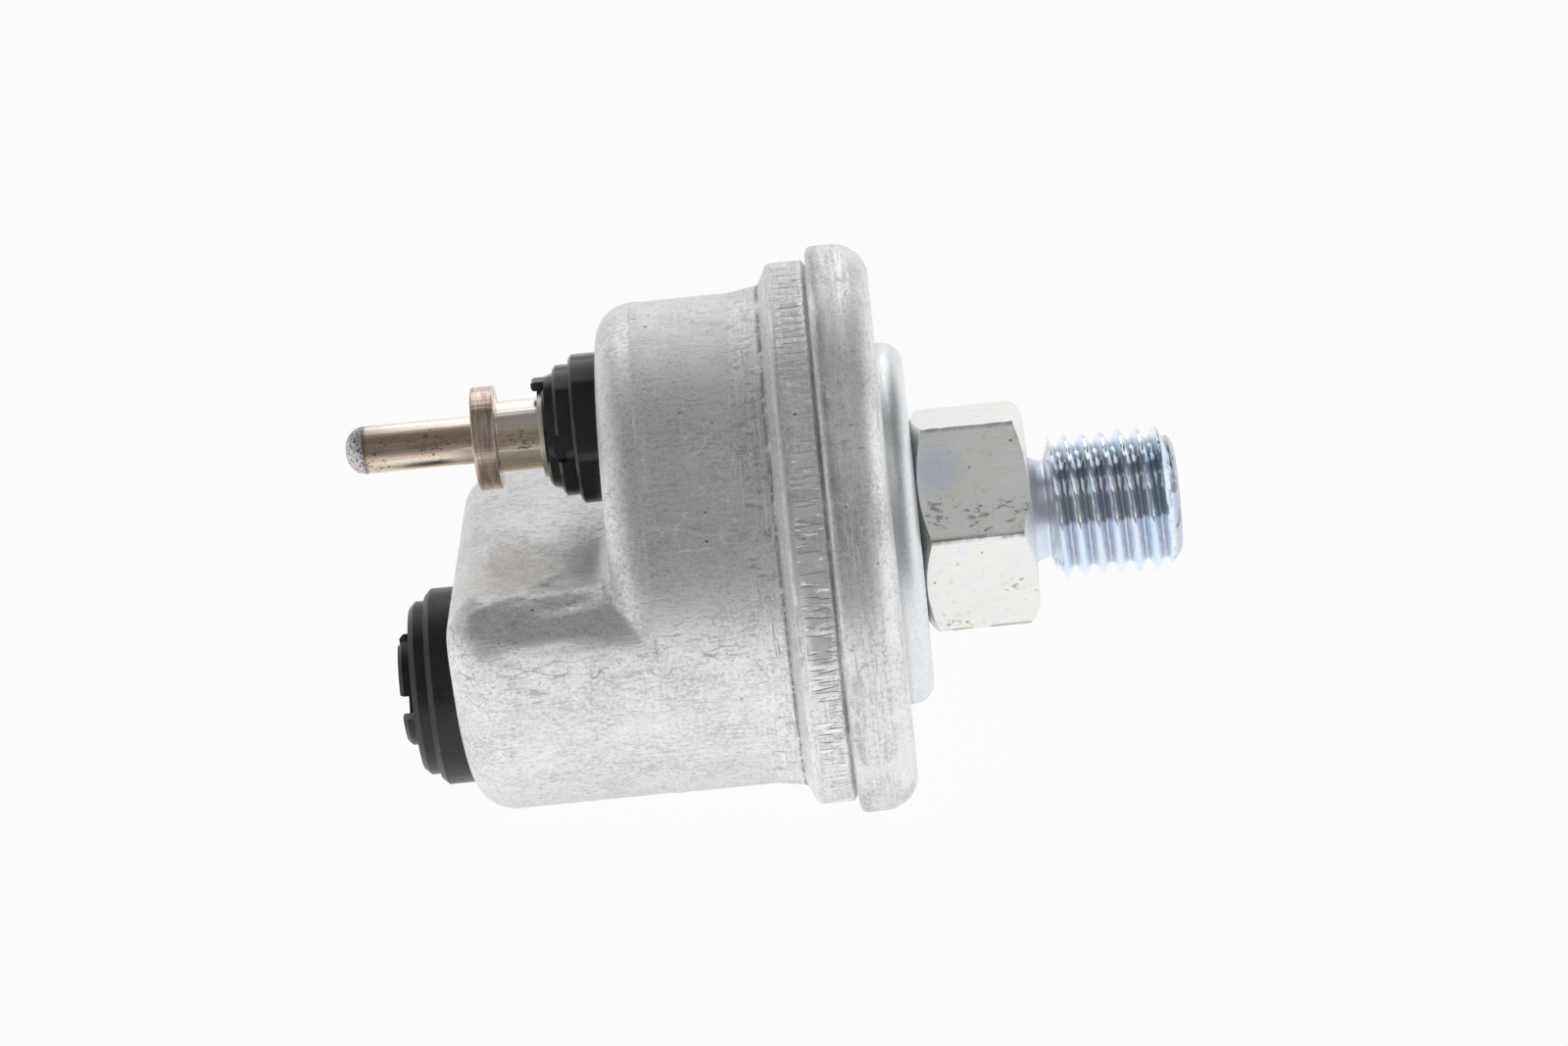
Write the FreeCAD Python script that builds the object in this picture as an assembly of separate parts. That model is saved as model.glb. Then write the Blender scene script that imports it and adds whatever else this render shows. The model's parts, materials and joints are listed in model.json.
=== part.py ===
"""Oil pressure sender with an electrical bullet terminal, in millimetres.

X runs along the sender towards the end of its thread, Z runs from the blanked
terminal place up to the terminal pin, and the origin is on the axis at the
face of the hexagon that the sender is screwed down on.
"""

import FreeCAD, Part
import math
import os
from FreeCAD import Vector

# Threaded fitting
THREAD_D = 11.85
THREAD_LENGTH = 12.2
THREAD_LEAD = 1.2
THREAD_LEAD_D = 9.0
NECK_LENGTH = 1.95
NECK_TAPER = 1.0
NECK_D = 8.0
NECK_ROOT_D = 8.9
THREAD_RUNOUT = 0.6
HEX_FLATS = 17.0
HEX_LENGTH = 9.3
HEX_TURN = 7.0
HEX_FACE_D = 16.4
HEX_CHAMFER_SLOPE = 30.0
RELIEF_GAP = 0.3
RELIEF_DEPTH = 0.25
INLET_D = 4.0
INLET_DEPTH = 7.0
PASSAGE_D = 3.2
SPIGOT_D = 9.0
STAKE_D = 12.0
STAKE_THICK = 0.8

# Restrictor pressed into the passage behind the inlet
RESTRICTOR_LENGTH = 4.0
RESTRICTOR_HOLE_D = 0.9

# Pressed base plate
PLATE_THICK = 1.5
PAN_D = 30.0
PAN_RISE = 2.1
PAN_CORNER = 1.8
PLATE_BEND = 0.5

# Rolled rim of the can and the stack that it clamps
LIP_THICK = 1.0
LIP_GAP = 1.3
BEAD_RISE = 1.05
BEAD_CORNER = 2.9
RIM_WALL = 1.65
RIM_PLAY = 0.05
GASKET_THICK = 0.5
GASKET_WIDTH = 4.85
DIAPHRAGM_THICK = 0.2
CLAMP_RING_THICK = 1.5
CLAMP_RING_WIDTH = 4.85
GROOVE_DEPTH = 0.4
GROOVE_SET = 0.3
RIDGE_RISE = 2.1
RIDGE_LENGTH = 3.3
CRIMP_CORNER = 0.7

# Can with its stepped end
CAN_D = 40.7
CAN_WALL = 1.1
FLARE_RISE = 0.4
FLARE_LENGTH = 2.6
STEP_LENGTH = 0.8
CAN_LENGTH = 11.1
SHELF_EDGE = 3.0
TOWER_LENGTH = 13.6
TOWER_WALL_GAP = 1.95
TOWER_EDGE = 3.4
TOWER_CORNER = 4.5
TOWER_DRAFT = 0.05
STEP_FILLET = 1.6
INNER_BEVEL = 0.6

# Terminal pin and what insulates it
TERMINAL_INSET = 9.45
PIN_D = 3.95
PIN_LENGTH = 10.7
PIN_TIP_ROUND = 1.6
COLLAR_D = 8.5
COLLAR_THICK = 1.9
COLLAR_CHAMFER = 0.35
SHANK_D = 5.9
SHANK_LENGTH = 3.6
STEM_D = 3.4
WASHER_D = 7.4
WASHER_THICK = 0.4
DISC_D = 12.3
DISC_THICK = 2.3
SECOND_D = 10.8
SECOND_THICK = 1.4
NOSE_D = 9.6
NOSE_FRONT_D = 9.0
NOSE_THICK = 1.0
BUSH_BEVEL = 0.25
NUB_LENGTH = 0.85
NUB_HEIGHT = 0.75
NUB_WIDTH = 1.4
NOTCH_WIDTH = 2.3
NOTCH_DEPTH = 0.7
NOTCH_SET = 0.1
SLEEVE_D = 8.2
HOLE_PLAY = 0.1
INNER_DISC_D = 11.5
INNER_DISC_THICK = 2.0
LUG_THICK = 0.5
LUG_D = 7.0
LUG_WIDTH = 3.0
LUG_REACH = 6.0
HEAD_D = 5.6
HEAD_THICK = 1.0

# Plug that blanks the second terminal place
PLUG_INSET = 10.15
PLUG_D = 16.4
PLUG_THICK = 2.95
PLUG_STEP_D = 14.5
PLUG_STEP_THICK = 1.4
PLUG_EDGE = 0.5
RING_D = 9.3
RING_HOLE_D = 6.4
RING_HEIGHT = 1.15
RING_SLOT = 2.0
RING_EDGE = 0.35
PLUG_SLEEVE_D = 9.0
CLIP_D = 13.0
CLIP_THICK = 0.6
CLIP_EARS = 6
CLIP_SLOT = 1.2

# Diaphragm
WAVES = 3
WAVE_HEIGHT = 0.7
WAVE_OUTER_D = 26.0
WAVE_INNER_D = 12.5

# Ram that the diaphragm pushes, and its travel
RAM_TRAVEL = 1.5
RAM_GAP = 0.1
RAM_PLATE_D = 10.0
RAM_PLATE_THICK = 0.8
RAM_ROD_D = 2.0
RAM_ROD_LENGTH = 8.0
RAM_TIP_BEVEL = 0.4
RUNNING_PLAY = 0.05

# Bridge that carries the movement
BRIDGE_THICK = 1.2
BRIDGE_WIDTH = 13.0
BRIDGE_RISE = 3.0
BRIDGE_INSET = 2.05
BRIDGE_FOOT = 3.0
BRIDGE_JOGGLE = 2.0
BRIDGE_BEND = 0.8
EAR_THICK = 1.2
EAR_D = 7.0
RIVET_D = 1.4
RIVET_SPREAD = 8.0
RIVET_HEAD_D = 1.9
RIVET_MARGIN = 0.05
RIVET_HEAD_THICK = 0.6

# Rocker and its wiper
LEVER = 3.2
PIVOT_D = 2.0
PIVOT_HEAD_D = 3.2
PIVOT_HEAD_THICK = 0.6
HUB_D = 3.6
HUB_PLAY = 0.3
TOE_D = 1.2
TOE_WIDTH = 2.4
TOE_WEB = 0.6
TOE_GAP = 0.15
ARM_LENGTH = 16.0
ARM_ANGLE = 3.0
ARM_THICK = 0.6
ARM_WIDTH = 2.4
ARM_HUB_D = 5.2
ARM_Y = 3.0
WIPER_D = 1.6
WIPER_STAND = 0.5
WIPER_GAP = 0.15

# Leaf spring that returns the rocker
LEAF_THICK = 0.25
LEAF_WIDTH = 2.0
LEAF_FOOT = 3.0
LEAF_Z = 3.2
LEAF_BEND = 0.6
LEAF_GAP = 0.15
LEAF_TAIL = 0.4

# Resistance card, its winding and what holds them
CARD_THICK = 1.4
CARD_WIDTH = 7.0
CARD_LENGTH = 15.0
WINDING_LENGTH = 10.8
WINDING_THICK = 0.25
WINDING_TURNS = 18
CARD_RIVET_D = 1.2
CARD_RIVET_HEAD_D = 2.0
CARD_RIVET_HEAD = 0.5
CARD_RIVET_INSET = 1.05
SPACER_D = 2.0
BRACKET_THICK = 0.8
BRACKET_WIDTH = 3.6
LEAD_D = 0.7
LEAD_BEND = 2.5

# Diameters and places across the axis, worked out from the sizes above
RIDGE_D = CAN_D + 2 * RIDGE_RISE
GROOVE_D = RIDGE_D - 2 * GROOVE_DEPTH
FLARE_D = CAN_D + 2 * FLARE_RISE
BEAD_D = RIDGE_D + 2 * BEAD_RISE
RIM_D = BEAD_D - 2 * RIM_WALL
LIP_INNER_D = PAN_D + 2 * LIP_GAP
GASKET_INNER_D = RIM_D - 2 * GASKET_WIDTH
CLAMP_RING_INNER_D = RIM_D - 2 * CLAMP_RING_WIDTH
BRIDGE_HALF_SPAN = RIM_D / 2 - BRIDGE_INSET
TERMINAL_Z = CAN_D / 2 - TERMINAL_INSET
PLUG_DROP = CAN_D / 2 - PLUG_INSET
TOWER_WALL_Z = TERMINAL_Z - DISC_D / 2 - TOWER_WALL_GAP

# Stations along the axis, worked out from the sizes above
HEX_X = -HEX_LENGTH
LIP_X = HEX_X - PAN_RISE
PLATE_X = LIP_X - LIP_THICK
GASKET_X = PLATE_X - PLATE_THICK
DIAPHRAGM_X = GASKET_X - GASKET_THICK
CLAMP_X = DIAPHRAGM_X - DIAPHRAGM_THICK
SEAT_X = CLAMP_X - CLAMP_RING_THICK
RIDGE_X = SEAT_X - GROOVE_SET
RIDGE_END_X = RIDGE_X - RIDGE_LENGTH
FLARE_X = RIDGE_END_X - STEP_LENGTH
CAN_X = FLARE_X - FLARE_LENGTH
SHELF_X = CAN_X - CAN_LENGTH
TOWER_END_X = SHELF_X - TOWER_LENGTH
BRIDGE_X = SEAT_X - BRIDGE_RISE
BRIDGE_BACK_X = BRIDGE_X - BRIDGE_THICK
RAM_X = CLAMP_X - RAM_GAP
RAM_TIP_X = RAM_X - RAM_PLATE_THICK - RAM_ROD_LENGTH
SHELF_INSIDE_X = SHELF_X + CAN_WALL
TOWER_INSIDE_X = TOWER_END_X + CAN_WALL
NOSE_X = SHELF_X - DISC_THICK - SECOND_THICK - NOSE_THICK
COLLAR_X = NOSE_X - WASHER_THICK - SHANK_LENGTH
PIN_X = COLLAR_X - COLLAR_THICK
LUG_X = SHELF_INSIDE_X + INNER_DISC_THICK

# The rocker starts half of its swing before the upright and ends half after it
SWING = RAM_TRAVEL / LEVER
PIVOT_X = RAM_TIP_X - TOE_GAP - TOE_D / 2 - LEVER * math.sin(SWING / 2)
PIVOT_Z = -LEVER * math.cos(SWING / 2)
TOE_X = PIVOT_X + LEVER * math.sin(SWING / 2)
EAR_Y = BRIDGE_WIDTH / 2

# The card lies along the chord of the wiper's arc, clear of the arm
ARM_REST = math.radians(ARM_ANGLE)
WINDING_Y = ARM_Y + ARM_THICK / 2 + WIPER_STAND + WIPER_GAP
CARD_Y = WINDING_Y + WINDING_THICK
BRACKET_Y = EAR_Y

AXIS = Vector(1, 0, 0)
ACROSS = Vector(0, 1, 0)


def wiper_at(angle):
    """Place of the wiper's contact when the arm hangs at an angle."""
    return Vector(PIVOT_X - ARM_LENGTH * math.cos(angle), 0, PIVOT_Z - ARM_LENGTH * math.sin(angle))


CARD_MIDDLE = (wiper_at(ARM_REST) + wiper_at(ARM_REST + SWING)) * 0.5
CARD_ALONG = (wiper_at(ARM_REST) - wiper_at(ARM_REST + SWING)).normalize()
CARD_ENDS = [CARD_MIDDLE + CARD_ALONG * (side * (CARD_LENGTH / 2 - CARD_RIVET_INSET)) for side in (1, -1)]


def rounded_wire(corners):
    """Closed outline in the XZ plane, from (x, z, rounding) corners.

    A rounding above zero is the radius of an arc, and one below zero is the length of a bevel.
    """
    count = len(corners)
    points = [Vector(x, 0, z) for x, z, rounding in corners]
    starts, middles, ends = [], [], []
    for i, (x, z, rounding) in enumerate(corners):
        back = (points[i - 1] - points[i]).normalize()
        ahead = (points[(i + 1) % count] - points[i]).normalize()
        half = back.getAngle(ahead) / 2
        cut = rounding / math.tan(half) if rounding > 0 else -rounding
        starts.append(points[i] + back * cut)
        ends.append(points[i] + ahead * cut)
        if rounding > 0:
            middles.append(points[i] + (back + ahead).normalize() * (rounding / math.sin(half) - rounding))
        else:
            middles.append(None)
    edges = []
    for i in range(count):
        if middles[i]:
            edges.append(Part.Arc(starts[i], middles[i], ends[i]).toShape())
        elif corners[i][2]:
            edges.append(Part.LineSegment(starts[i], ends[i]).toShape())
        following = starts[(i + 1) % count]
        if ends[i].distanceToPoint(following) > 1e-6:
            edges.append(Part.LineSegment(ends[i], following).toShape())
    return Part.Wire(edges)


def turned(corners, z=0.0):
    """Solid turned about a line along X at height z, from (x, radius, rounding) corners."""
    solid = Part.Face(rounded_wire(corners)).revolve(Vector(0, 0, 0), AXIS, 360)
    solid.translate(Vector(0, 0, z))
    return solid


def plate(corners, y_from, thick):
    """Flat plate across Y with an outline of (x, z, rounding) corners."""
    solid = Part.Face(rounded_wire(corners)).extrude(ACROSS * thick)
    solid.translate(ACROSS * y_from)
    return solid


def disc(x_from, x_to, diameter, z=0.0):
    """Round bar along X between two stations."""
    low, high = sorted((x_from, x_to))
    return Part.makeCylinder(diameter / 2, high - low, Vector(low, 0, z), AXIS)


def washer(x_from, x_to, diameter, hole, z=0.0):
    """Flat ring across X."""
    return disc(x_from, x_to, diameter, z).cut(disc(x_from - 1, x_to + 1, hole, z))


def slab(x_from, x_to, y_from, y_to, z_from, z_to):
    """Block between two corners."""
    return Part.makeBox(x_to - x_from, y_to - y_from, z_to - z_from, Vector(x_from, y_from, z_from))


def cross_bar(centre, diameter, y_from, y_to):
    """Round bar along Y through a point of the XZ plane."""
    return Part.makeCylinder(diameter / 2, y_to - y_from, Vector(centre.x, y_from, centre.z), ACROSS)


def link(begin, finish, width, y_from, thick):
    """Flat strip across Y with round ends, between two points of the XZ plane."""
    along = (finish - begin).normalize()
    side = Vector(-along.z, 0, along.x) * (width / 2)
    corners = [begin + side, begin - side, finish - side, finish + side, begin + side]
    strip = Part.Face(Part.makePolygon(corners)).extrude(ACROSS * thick)
    strip.translate(ACROSS * y_from)
    for end in (begin, finish):
        strip = strip.fuse(cross_bar(end, width, y_from, y_from + thick))
    return strip.removeSplitter()


def edges_where(shape, test):
    """Edges of a shape whose bounding box passes a test."""
    return [edge for edge in shape.Edges if test(edge.BoundBox)]


def hex_bar(x_from, x_to, flats, turn):
    """Hexagonal bar along X with one face turned from upright."""
    corners = []
    for i in range(7):
        angle = math.radians(turn + 30 + 60 * i)
        radius = flats / 2 / math.cos(math.radians(30))
        corners.append(Vector(x_from, radius * math.sin(angle), radius * math.cos(angle)))
    return Part.Face(Part.makePolygon(corners)).extrude(AXIS * (x_to - x_from))


def threaded_fitting():
    """Hexagon, neck and stud turned in one, staked through the base plate."""
    corner_r = HEX_FLATS / 2 / math.cos(math.radians(30)) + 0.1
    slope = (corner_r - HEX_FACE_D / 2) * math.tan(math.radians(HEX_CHAMFER_SLOPE))
    hexagon = hex_bar(HEX_X, 0, HEX_FLATS, HEX_TURN).common(turned([
        (HEX_X, 0, 0),
        (HEX_X, HEX_FACE_D / 2, 0),
        (HEX_X + slope, corner_r, 0),
        (-slope, corner_r, 0),
        (0, HEX_FACE_D / 2, 0),
        (0, 0, 0),
    ]))
    stem = turned([
        (HEX_X / 2, 0, 0),
        (HEX_X / 2, NECK_ROOT_D / 2, 0),
        (0, NECK_ROOT_D / 2, 0),
        (NECK_TAPER, NECK_D / 2, 0),
        (NECK_LENGTH - THREAD_RUNOUT, NECK_D / 2, 0),
        (NECK_LENGTH, THREAD_D / 2, 0),
        (THREAD_LENGTH - THREAD_LEAD, THREAD_D / 2, 0),
        (THREAD_LENGTH, THREAD_LEAD_D / 2, 0),
        (THREAD_LENGTH, 0, 0),
    ])
    spigot = disc(HEX_X - PLATE_THICK, HEX_X, SPIGOT_D)
    stake = turned([
        (HEX_X - PLATE_THICK, 0, 0),
        (HEX_X - PLATE_THICK, STAKE_D / 2, 0),
        (HEX_X - PLATE_THICK - STAKE_THICK, STAKE_D / 2, -STAKE_THICK / 2),
        (HEX_X - PLATE_THICK - STAKE_THICK, 0, 0),
    ])
    body = hexagon.fuse([stem, spigot, stake]).removeSplitter()
    body = body.cut(washer(-RELIEF_DEPTH, NECK_TAPER, THREAD_D + 2 * RELIEF_GAP, NECK_ROOT_D))
    body = body.cut(disc(HEX_X - PLATE_THICK - STAKE_THICK - 1, THREAD_LENGTH, PASSAGE_D))
    return body.cut(disc(THREAD_LENGTH - INLET_DEPTH, THREAD_LENGTH + 1, INLET_D))


def inlet_restrictor():
    """Plug with a fine hole that damps the oil pressure."""
    start = THREAD_LENGTH - INLET_DEPTH
    return washer(start - RESTRICTOR_LENGTH, start, PASSAGE_D, RESTRICTOR_HOLE_D)


def base_plate():
    """Steel plate pressed into a shallow pan, gripped by the can's rolled rim."""
    pan_r, hole_r = PAN_D / 2, SPIGOT_D / 2
    return turned([
        (HEX_X, hole_r, 0),
        (HEX_X, pan_r, PAN_CORNER),
        (PLATE_X, pan_r, -PLATE_BEND),
        (PLATE_X, RIM_D / 2, 0),
        (GASKET_X, RIM_D / 2, 0),
        (GASKET_X, pan_r - PLATE_THICK, -PLATE_BEND),
        (HEX_X - PLATE_THICK, pan_r - PLATE_THICK, -PLATE_BEND),
        (HEX_X - PLATE_THICK, hole_r, 0),
    ])


def can_form(inset):
    """Filled form of the can's stepped end, drawn in by a wall thickness.

    The outside is rounded, and the inside has bevels that keep the wall about even.
    """
    radius = CAN_D / 2 - inset
    shelf_edge = SHELF_EDGE if inset == 0 else -INNER_BEVEL * (SHELF_EDGE - inset)
    shelf = SHELF_X + inset
    tower = TOWER_END_X + inset
    wall_z = TOWER_WALL_Z - inset
    body = turned([
        (CAN_X, 0, 0),
        (CAN_X, radius, 0),
        (shelf, radius, shelf_edge),
        (shelf, 0, 0),
    ])
    lobe = disc(tower, CAN_X, 2 * (radius - TOWER_DRAFT))
    lobe = lobe.cut(slab(tower - 1, CAN_X + 1, -CAN_D, CAN_D, wall_z, CAN_D))
    long_edges = edges_where(lobe, lambda b: b.XLength > 1 and b.YLength < 0.01 and b.ZMin > wall_z - 0.01)
    lobe = lobe.makeFillet(TOWER_CORNER - inset, long_edges)
    end_edges = edges_where(lobe, lambda b: b.XMax < tower + 0.01)
    if inset == 0:
        lobe = lobe.makeFillet(TOWER_EDGE, end_edges)
    else:
        lobe = lobe.makeChamfer(INNER_BEVEL * (TOWER_EDGE - inset), end_edges)
    return body.fuse(lobe).removeSplitter()


def can_outside():
    """Outside of the can's stepped end, with the step's inner corner filled."""
    form = can_form(0.0)
    step = edges_where(form, lambda b: b.XMin > SHELF_X - 0.01 and b.XMax < SHELF_X + 0.01
                       and b.ZLength < 0.01 and abs(b.ZMax - TOWER_WALL_Z) < 0.01)
    return form.makeFillet(STEP_FILLET, step)


def housing():
    """Drawn can with its stepped end, its crimp ridge and its rolled rim."""
    rim = turned([
        (LIP_X, 0, 0),
        (LIP_X, BEAD_D / 2, BEAD_CORNER),
        (RIDGE_X, BEAD_D / 2, -CRIMP_CORNER),
        (RIDGE_X, GROOVE_D / 2, 0),
        (RIDGE_X - GROOVE_SET, RIDGE_D / 2, 0),
        (RIDGE_END_X, RIDGE_D / 2, -CRIMP_CORNER),
        (FLARE_X, FLARE_D / 2, 0),
        (CAN_X, CAN_D / 2, 0),
        (CAN_X, 0, 0),
    ])
    rim_r = RIM_D / 2 + RIM_PLAY
    mouth = turned([
        (LIP_X + 1, 0, 0),
        (LIP_X + 1, LIP_INNER_D / 2, 0),
        (PLATE_X, LIP_INNER_D / 2, 0),
        (PLATE_X, rim_r, 0),
        (SEAT_X, rim_r, 0),
        (SEAT_X, RIDGE_D / 2 - CAN_WALL, 0),
        (RIDGE_END_X + CAN_WALL, RIDGE_D / 2 - CAN_WALL, 0),
        (FLARE_X, FLARE_D / 2 - CAN_WALL, 0),
        (CAN_X, CAN_D / 2 - CAN_WALL, 0),
        (CAN_X, 0, 0),
    ])
    shell = can_outside().fuse(rim).removeSplitter()
    hollow = can_form(CAN_WALL).fuse(mouth).removeSplitter()
    shell = shell.cut(hollow)
    shell = shell.cut(disc(SHELF_X - 1, SHELF_INSIDE_X + 1, SLEEVE_D + 2 * HOLE_PLAY, TERMINAL_Z))
    return shell.cut(disc(TOWER_END_X - 1, TOWER_INSIDE_X + 1, PLUG_SLEEVE_D + 2 * HOLE_PLAY, -PLUG_DROP))


def sealing_gasket():
    """Flat gasket between the base plate and the diaphragm."""
    return washer(DIAPHRAGM_X, GASKET_X, RIM_D, GASKET_INNER_D)


def diaphragm():
    """Thin corrugated disc that bulges with the oil pressure."""
    step = (WAVE_OUTER_D - WAVE_INNER_D) / 4 / WAVES
    front = []
    for i in range(2 * WAVES + 1):
        rise = WAVE_HEIGHT if i % 2 else 0.0
        front.append((DIAPHRAGM_X + rise, WAVE_OUTER_D / 2 - i * step, 0))
    back = [(x - DIAPHRAGM_THICK, r, rounding) for x, r, rounding in reversed(front)]
    rim = [(DIAPHRAGM_X - DIAPHRAGM_THICK, RIM_D / 2, 0), (DIAPHRAGM_X, RIM_D / 2, 0)]
    return turned(rim + front + [(DIAPHRAGM_X, 0, 0), (DIAPHRAGM_X - DIAPHRAGM_THICK, 0, 0)] + back)


def clamp_ring():
    """Ring that clamps the diaphragm and carries the bridge."""
    ring = washer(SEAT_X, CLAMP_X, RIM_D, CLAMP_RING_INNER_D)
    for rivet in rivet_places():
        ring = ring.cut(disc(SEAT_X - 1, CLAMP_X + 1, RIVET_D).translated(rivet))
    return ring


def rivet_places():
    """Offsets of the rivets from the axis, two in each foot of the bridge."""
    height = BRIDGE_HALF_SPAN - RIVET_HEAD_D / 2 - RIVET_MARGIN
    return [Vector(0, y * RIVET_SPREAD / 2, z * height) for y in (1, -1) for z in (1, -1)]


def bridge_rivets():
    """Rivets flush with the ring, with heads on the bridge's feet."""
    rivets = []
    for place in rivet_places():
        shank = disc(SEAT_X - BRIDGE_THICK, CLAMP_X, RIVET_D)
        head = disc(SEAT_X - BRIDGE_THICK - RIVET_HEAD_THICK, SEAT_X - BRIDGE_THICK, RIVET_HEAD_D)
        rivets.append(shank.fuse(head).removeSplitter().translated(place))
    return Part.makeCompound(rivets)


def mechanism_bridge():
    """Stamped bridge across the clamp ring, with two ears for the pivot."""
    outer_z, foot_z = BRIDGE_HALF_SPAN, BRIDGE_HALF_SPAN - BRIDGE_FOOT
    top_z = foot_z - BRIDGE_JOGGLE
    foot_x, back = SEAT_X - BRIDGE_THICK, BRIDGE_BACK_X
    strip = plate([
        (SEAT_X, outer_z, 0), (SEAT_X, foot_z, BRIDGE_BEND), (BRIDGE_X, top_z, BRIDGE_BEND),
        (BRIDGE_X, -top_z, BRIDGE_BEND), (SEAT_X, -foot_z, BRIDGE_BEND), (SEAT_X, -outer_z, 0),
        (foot_x, -outer_z, 0), (foot_x, -foot_z - BRIDGE_THICK / 2, BRIDGE_BEND),
        (back, -top_z - BRIDGE_THICK / 2, BRIDGE_BEND), (back, top_z + BRIDGE_THICK / 2, BRIDGE_BEND),
        (foot_x, foot_z + BRIDGE_THICK / 2, BRIDGE_BEND), (foot_x, outer_z, 0),
    ], -BRIDGE_WIDTH / 2, BRIDGE_WIDTH)
    pivot = Vector(PIVOT_X, 0, PIVOT_Z)
    for side_y in (-EAR_Y, EAR_Y - EAR_THICK):
        ear = link(Vector(BRIDGE_X - BRIDGE_THICK / 2, 0, PIVOT_Z), pivot, EAR_D, side_y, EAR_THICK)
        strip = strip.fuse(ear.cut(slab(BRIDGE_X, 0, -CAN_D, CAN_D, -CAN_D, CAN_D)))
    strip = strip.removeSplitter().cut(cross_bar(pivot, PIVOT_D, -CAN_D, CAN_D))
    strip = strip.cut(disc(BRIDGE_BACK_X - 1, BRIDGE_X + 1, RAM_ROD_D + 2 * RUNNING_PLAY))
    for rivet in rivet_places():
        strip = strip.cut(disc(foot_x - 1, SEAT_X + 1, RIVET_D).translated(rivet))
    return strip


def ram():
    """Plate that the diaphragm pushes, with the rod that moves the rocker."""
    back = RAM_X - RAM_PLATE_THICK
    return turned([
        (RAM_X, 0, 0),
        (RAM_X, RAM_PLATE_D / 2, 0),
        (back, RAM_PLATE_D / 2, 0),
        (back, RAM_ROD_D / 2, 0),
        (RAM_TIP_X, RAM_ROD_D / 2, -RAM_TIP_BEVEL),
        (RAM_TIP_X, 0, 0),
    ])


def pivot_pin():
    """Pin through the ears and the card bracket, with a head at each end."""
    pivot = Vector(PIVOT_X, 0, PIVOT_Z)
    low, high = -EAR_Y, BRACKET_Y + BRACKET_THICK
    pin = cross_bar(pivot, PIVOT_D, low, high)
    heads = [
        cross_bar(pivot, PIVOT_HEAD_D, low - PIVOT_HEAD_THICK, low),
        cross_bar(pivot, PIVOT_HEAD_D, high, high + PIVOT_HEAD_THICK),
    ]
    return pin.fuse(heads).removeSplitter()


def rocker():
    """Hub on the pivot, with the toe that the ram pushes."""
    pivot = Vector(PIVOT_X, 0, PIVOT_Z)
    toe = Vector(TOE_X, 0, 0)
    half = EAR_Y - EAR_THICK - HUB_PLAY
    body = cross_bar(pivot, HUB_D, -half, half)
    web = link(pivot, toe, TOE_WEB, -TOE_WIDTH / 2, TOE_WIDTH)
    nose = cross_bar(toe, TOE_D, -TOE_WIDTH / 2, TOE_WIDTH / 2)
    body = body.fuse([web, nose]).removeSplitter()
    return body.cut(cross_bar(pivot, PIVOT_D + 2 * RUNNING_PLAY, -CAN_D, CAN_D))


def wiper_arm():
    """Springy strip fixed on the rocker's hub."""
    pivot = Vector(PIVOT_X, 0, PIVOT_Z)
    low = ARM_Y - ARM_THICK / 2
    arm = link(pivot, wiper_at(ARM_REST), ARM_WIDTH, low, ARM_THICK)
    arm = arm.fuse(cross_bar(pivot, ARM_HUB_D, low, low + ARM_THICK)).removeSplitter()
    arm = arm.cut(cross_bar(pivot, HUB_D, -CAN_D, CAN_D))
    return arm.cut(cross_bar(wiper_at(ARM_REST), WIPER_D, -CAN_D, CAN_D))


def wiper_contact():
    """Rounded contact riveted into the end of the wiper arm."""
    place = wiper_at(ARM_REST)
    low, high = ARM_Y - ARM_THICK, ARM_Y + ARM_THICK / 2 + WIPER_STAND
    contact = cross_bar(place, WIPER_D, low, high)
    tip = edges_where(contact, lambda b: b.YMin > high - 0.01)
    return contact.makeChamfer(WIPER_STAND * 0.8, tip)


def return_spring():
    """Leaf spring on the bridge that bears on the back of the toe."""
    root_x, tip_x = BRIDGE_BACK_X, TOE_X - TOE_D / 2 - LEAF_GAP
    low_z, high_z = LEAF_Z, LEAF_Z + LEAF_THICK
    return plate([
        (root_x, high_z + LEAF_FOOT, 0), (root_x, low_z, LEAF_BEND + LEAF_THICK),
        (tip_x, low_z, LEAF_BEND), (tip_x, -LEAF_TAIL, 0),
        (tip_x - LEAF_THICK, -LEAF_TAIL, 0), (tip_x - LEAF_THICK, high_z, LEAF_BEND + LEAF_THICK),
        (root_x - LEAF_THICK, high_z, LEAF_BEND), (root_x - LEAF_THICK, high_z + LEAF_FOOT, 0),
    ], -LEAF_WIDTH / 2, LEAF_WIDTH)


def card_block(length, width, y_from, thick):
    """Block that lies along the chord of the wiper's arc."""
    side = Vector(-CARD_ALONG.z, 0, CARD_ALONG.x) * (width / 2)
    half = CARD_ALONG * (length / 2)
    corners = [half + side, half - side, -half - side, -half + side, half + side]
    face = Part.Face(Part.makePolygon([CARD_MIDDLE + c for c in corners]))
    return face.extrude(ACROSS * thick).translated(ACROSS * y_from)


def resistance_card():
    """Insulating card that carries the resistance wire."""
    card = card_block(CARD_LENGTH, CARD_WIDTH, CARD_Y, CARD_THICK)
    for end in CARD_ENDS:
        card = card.cut(cross_bar(end, CARD_RIVET_D, -CAN_D, CAN_D))
    return card


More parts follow.
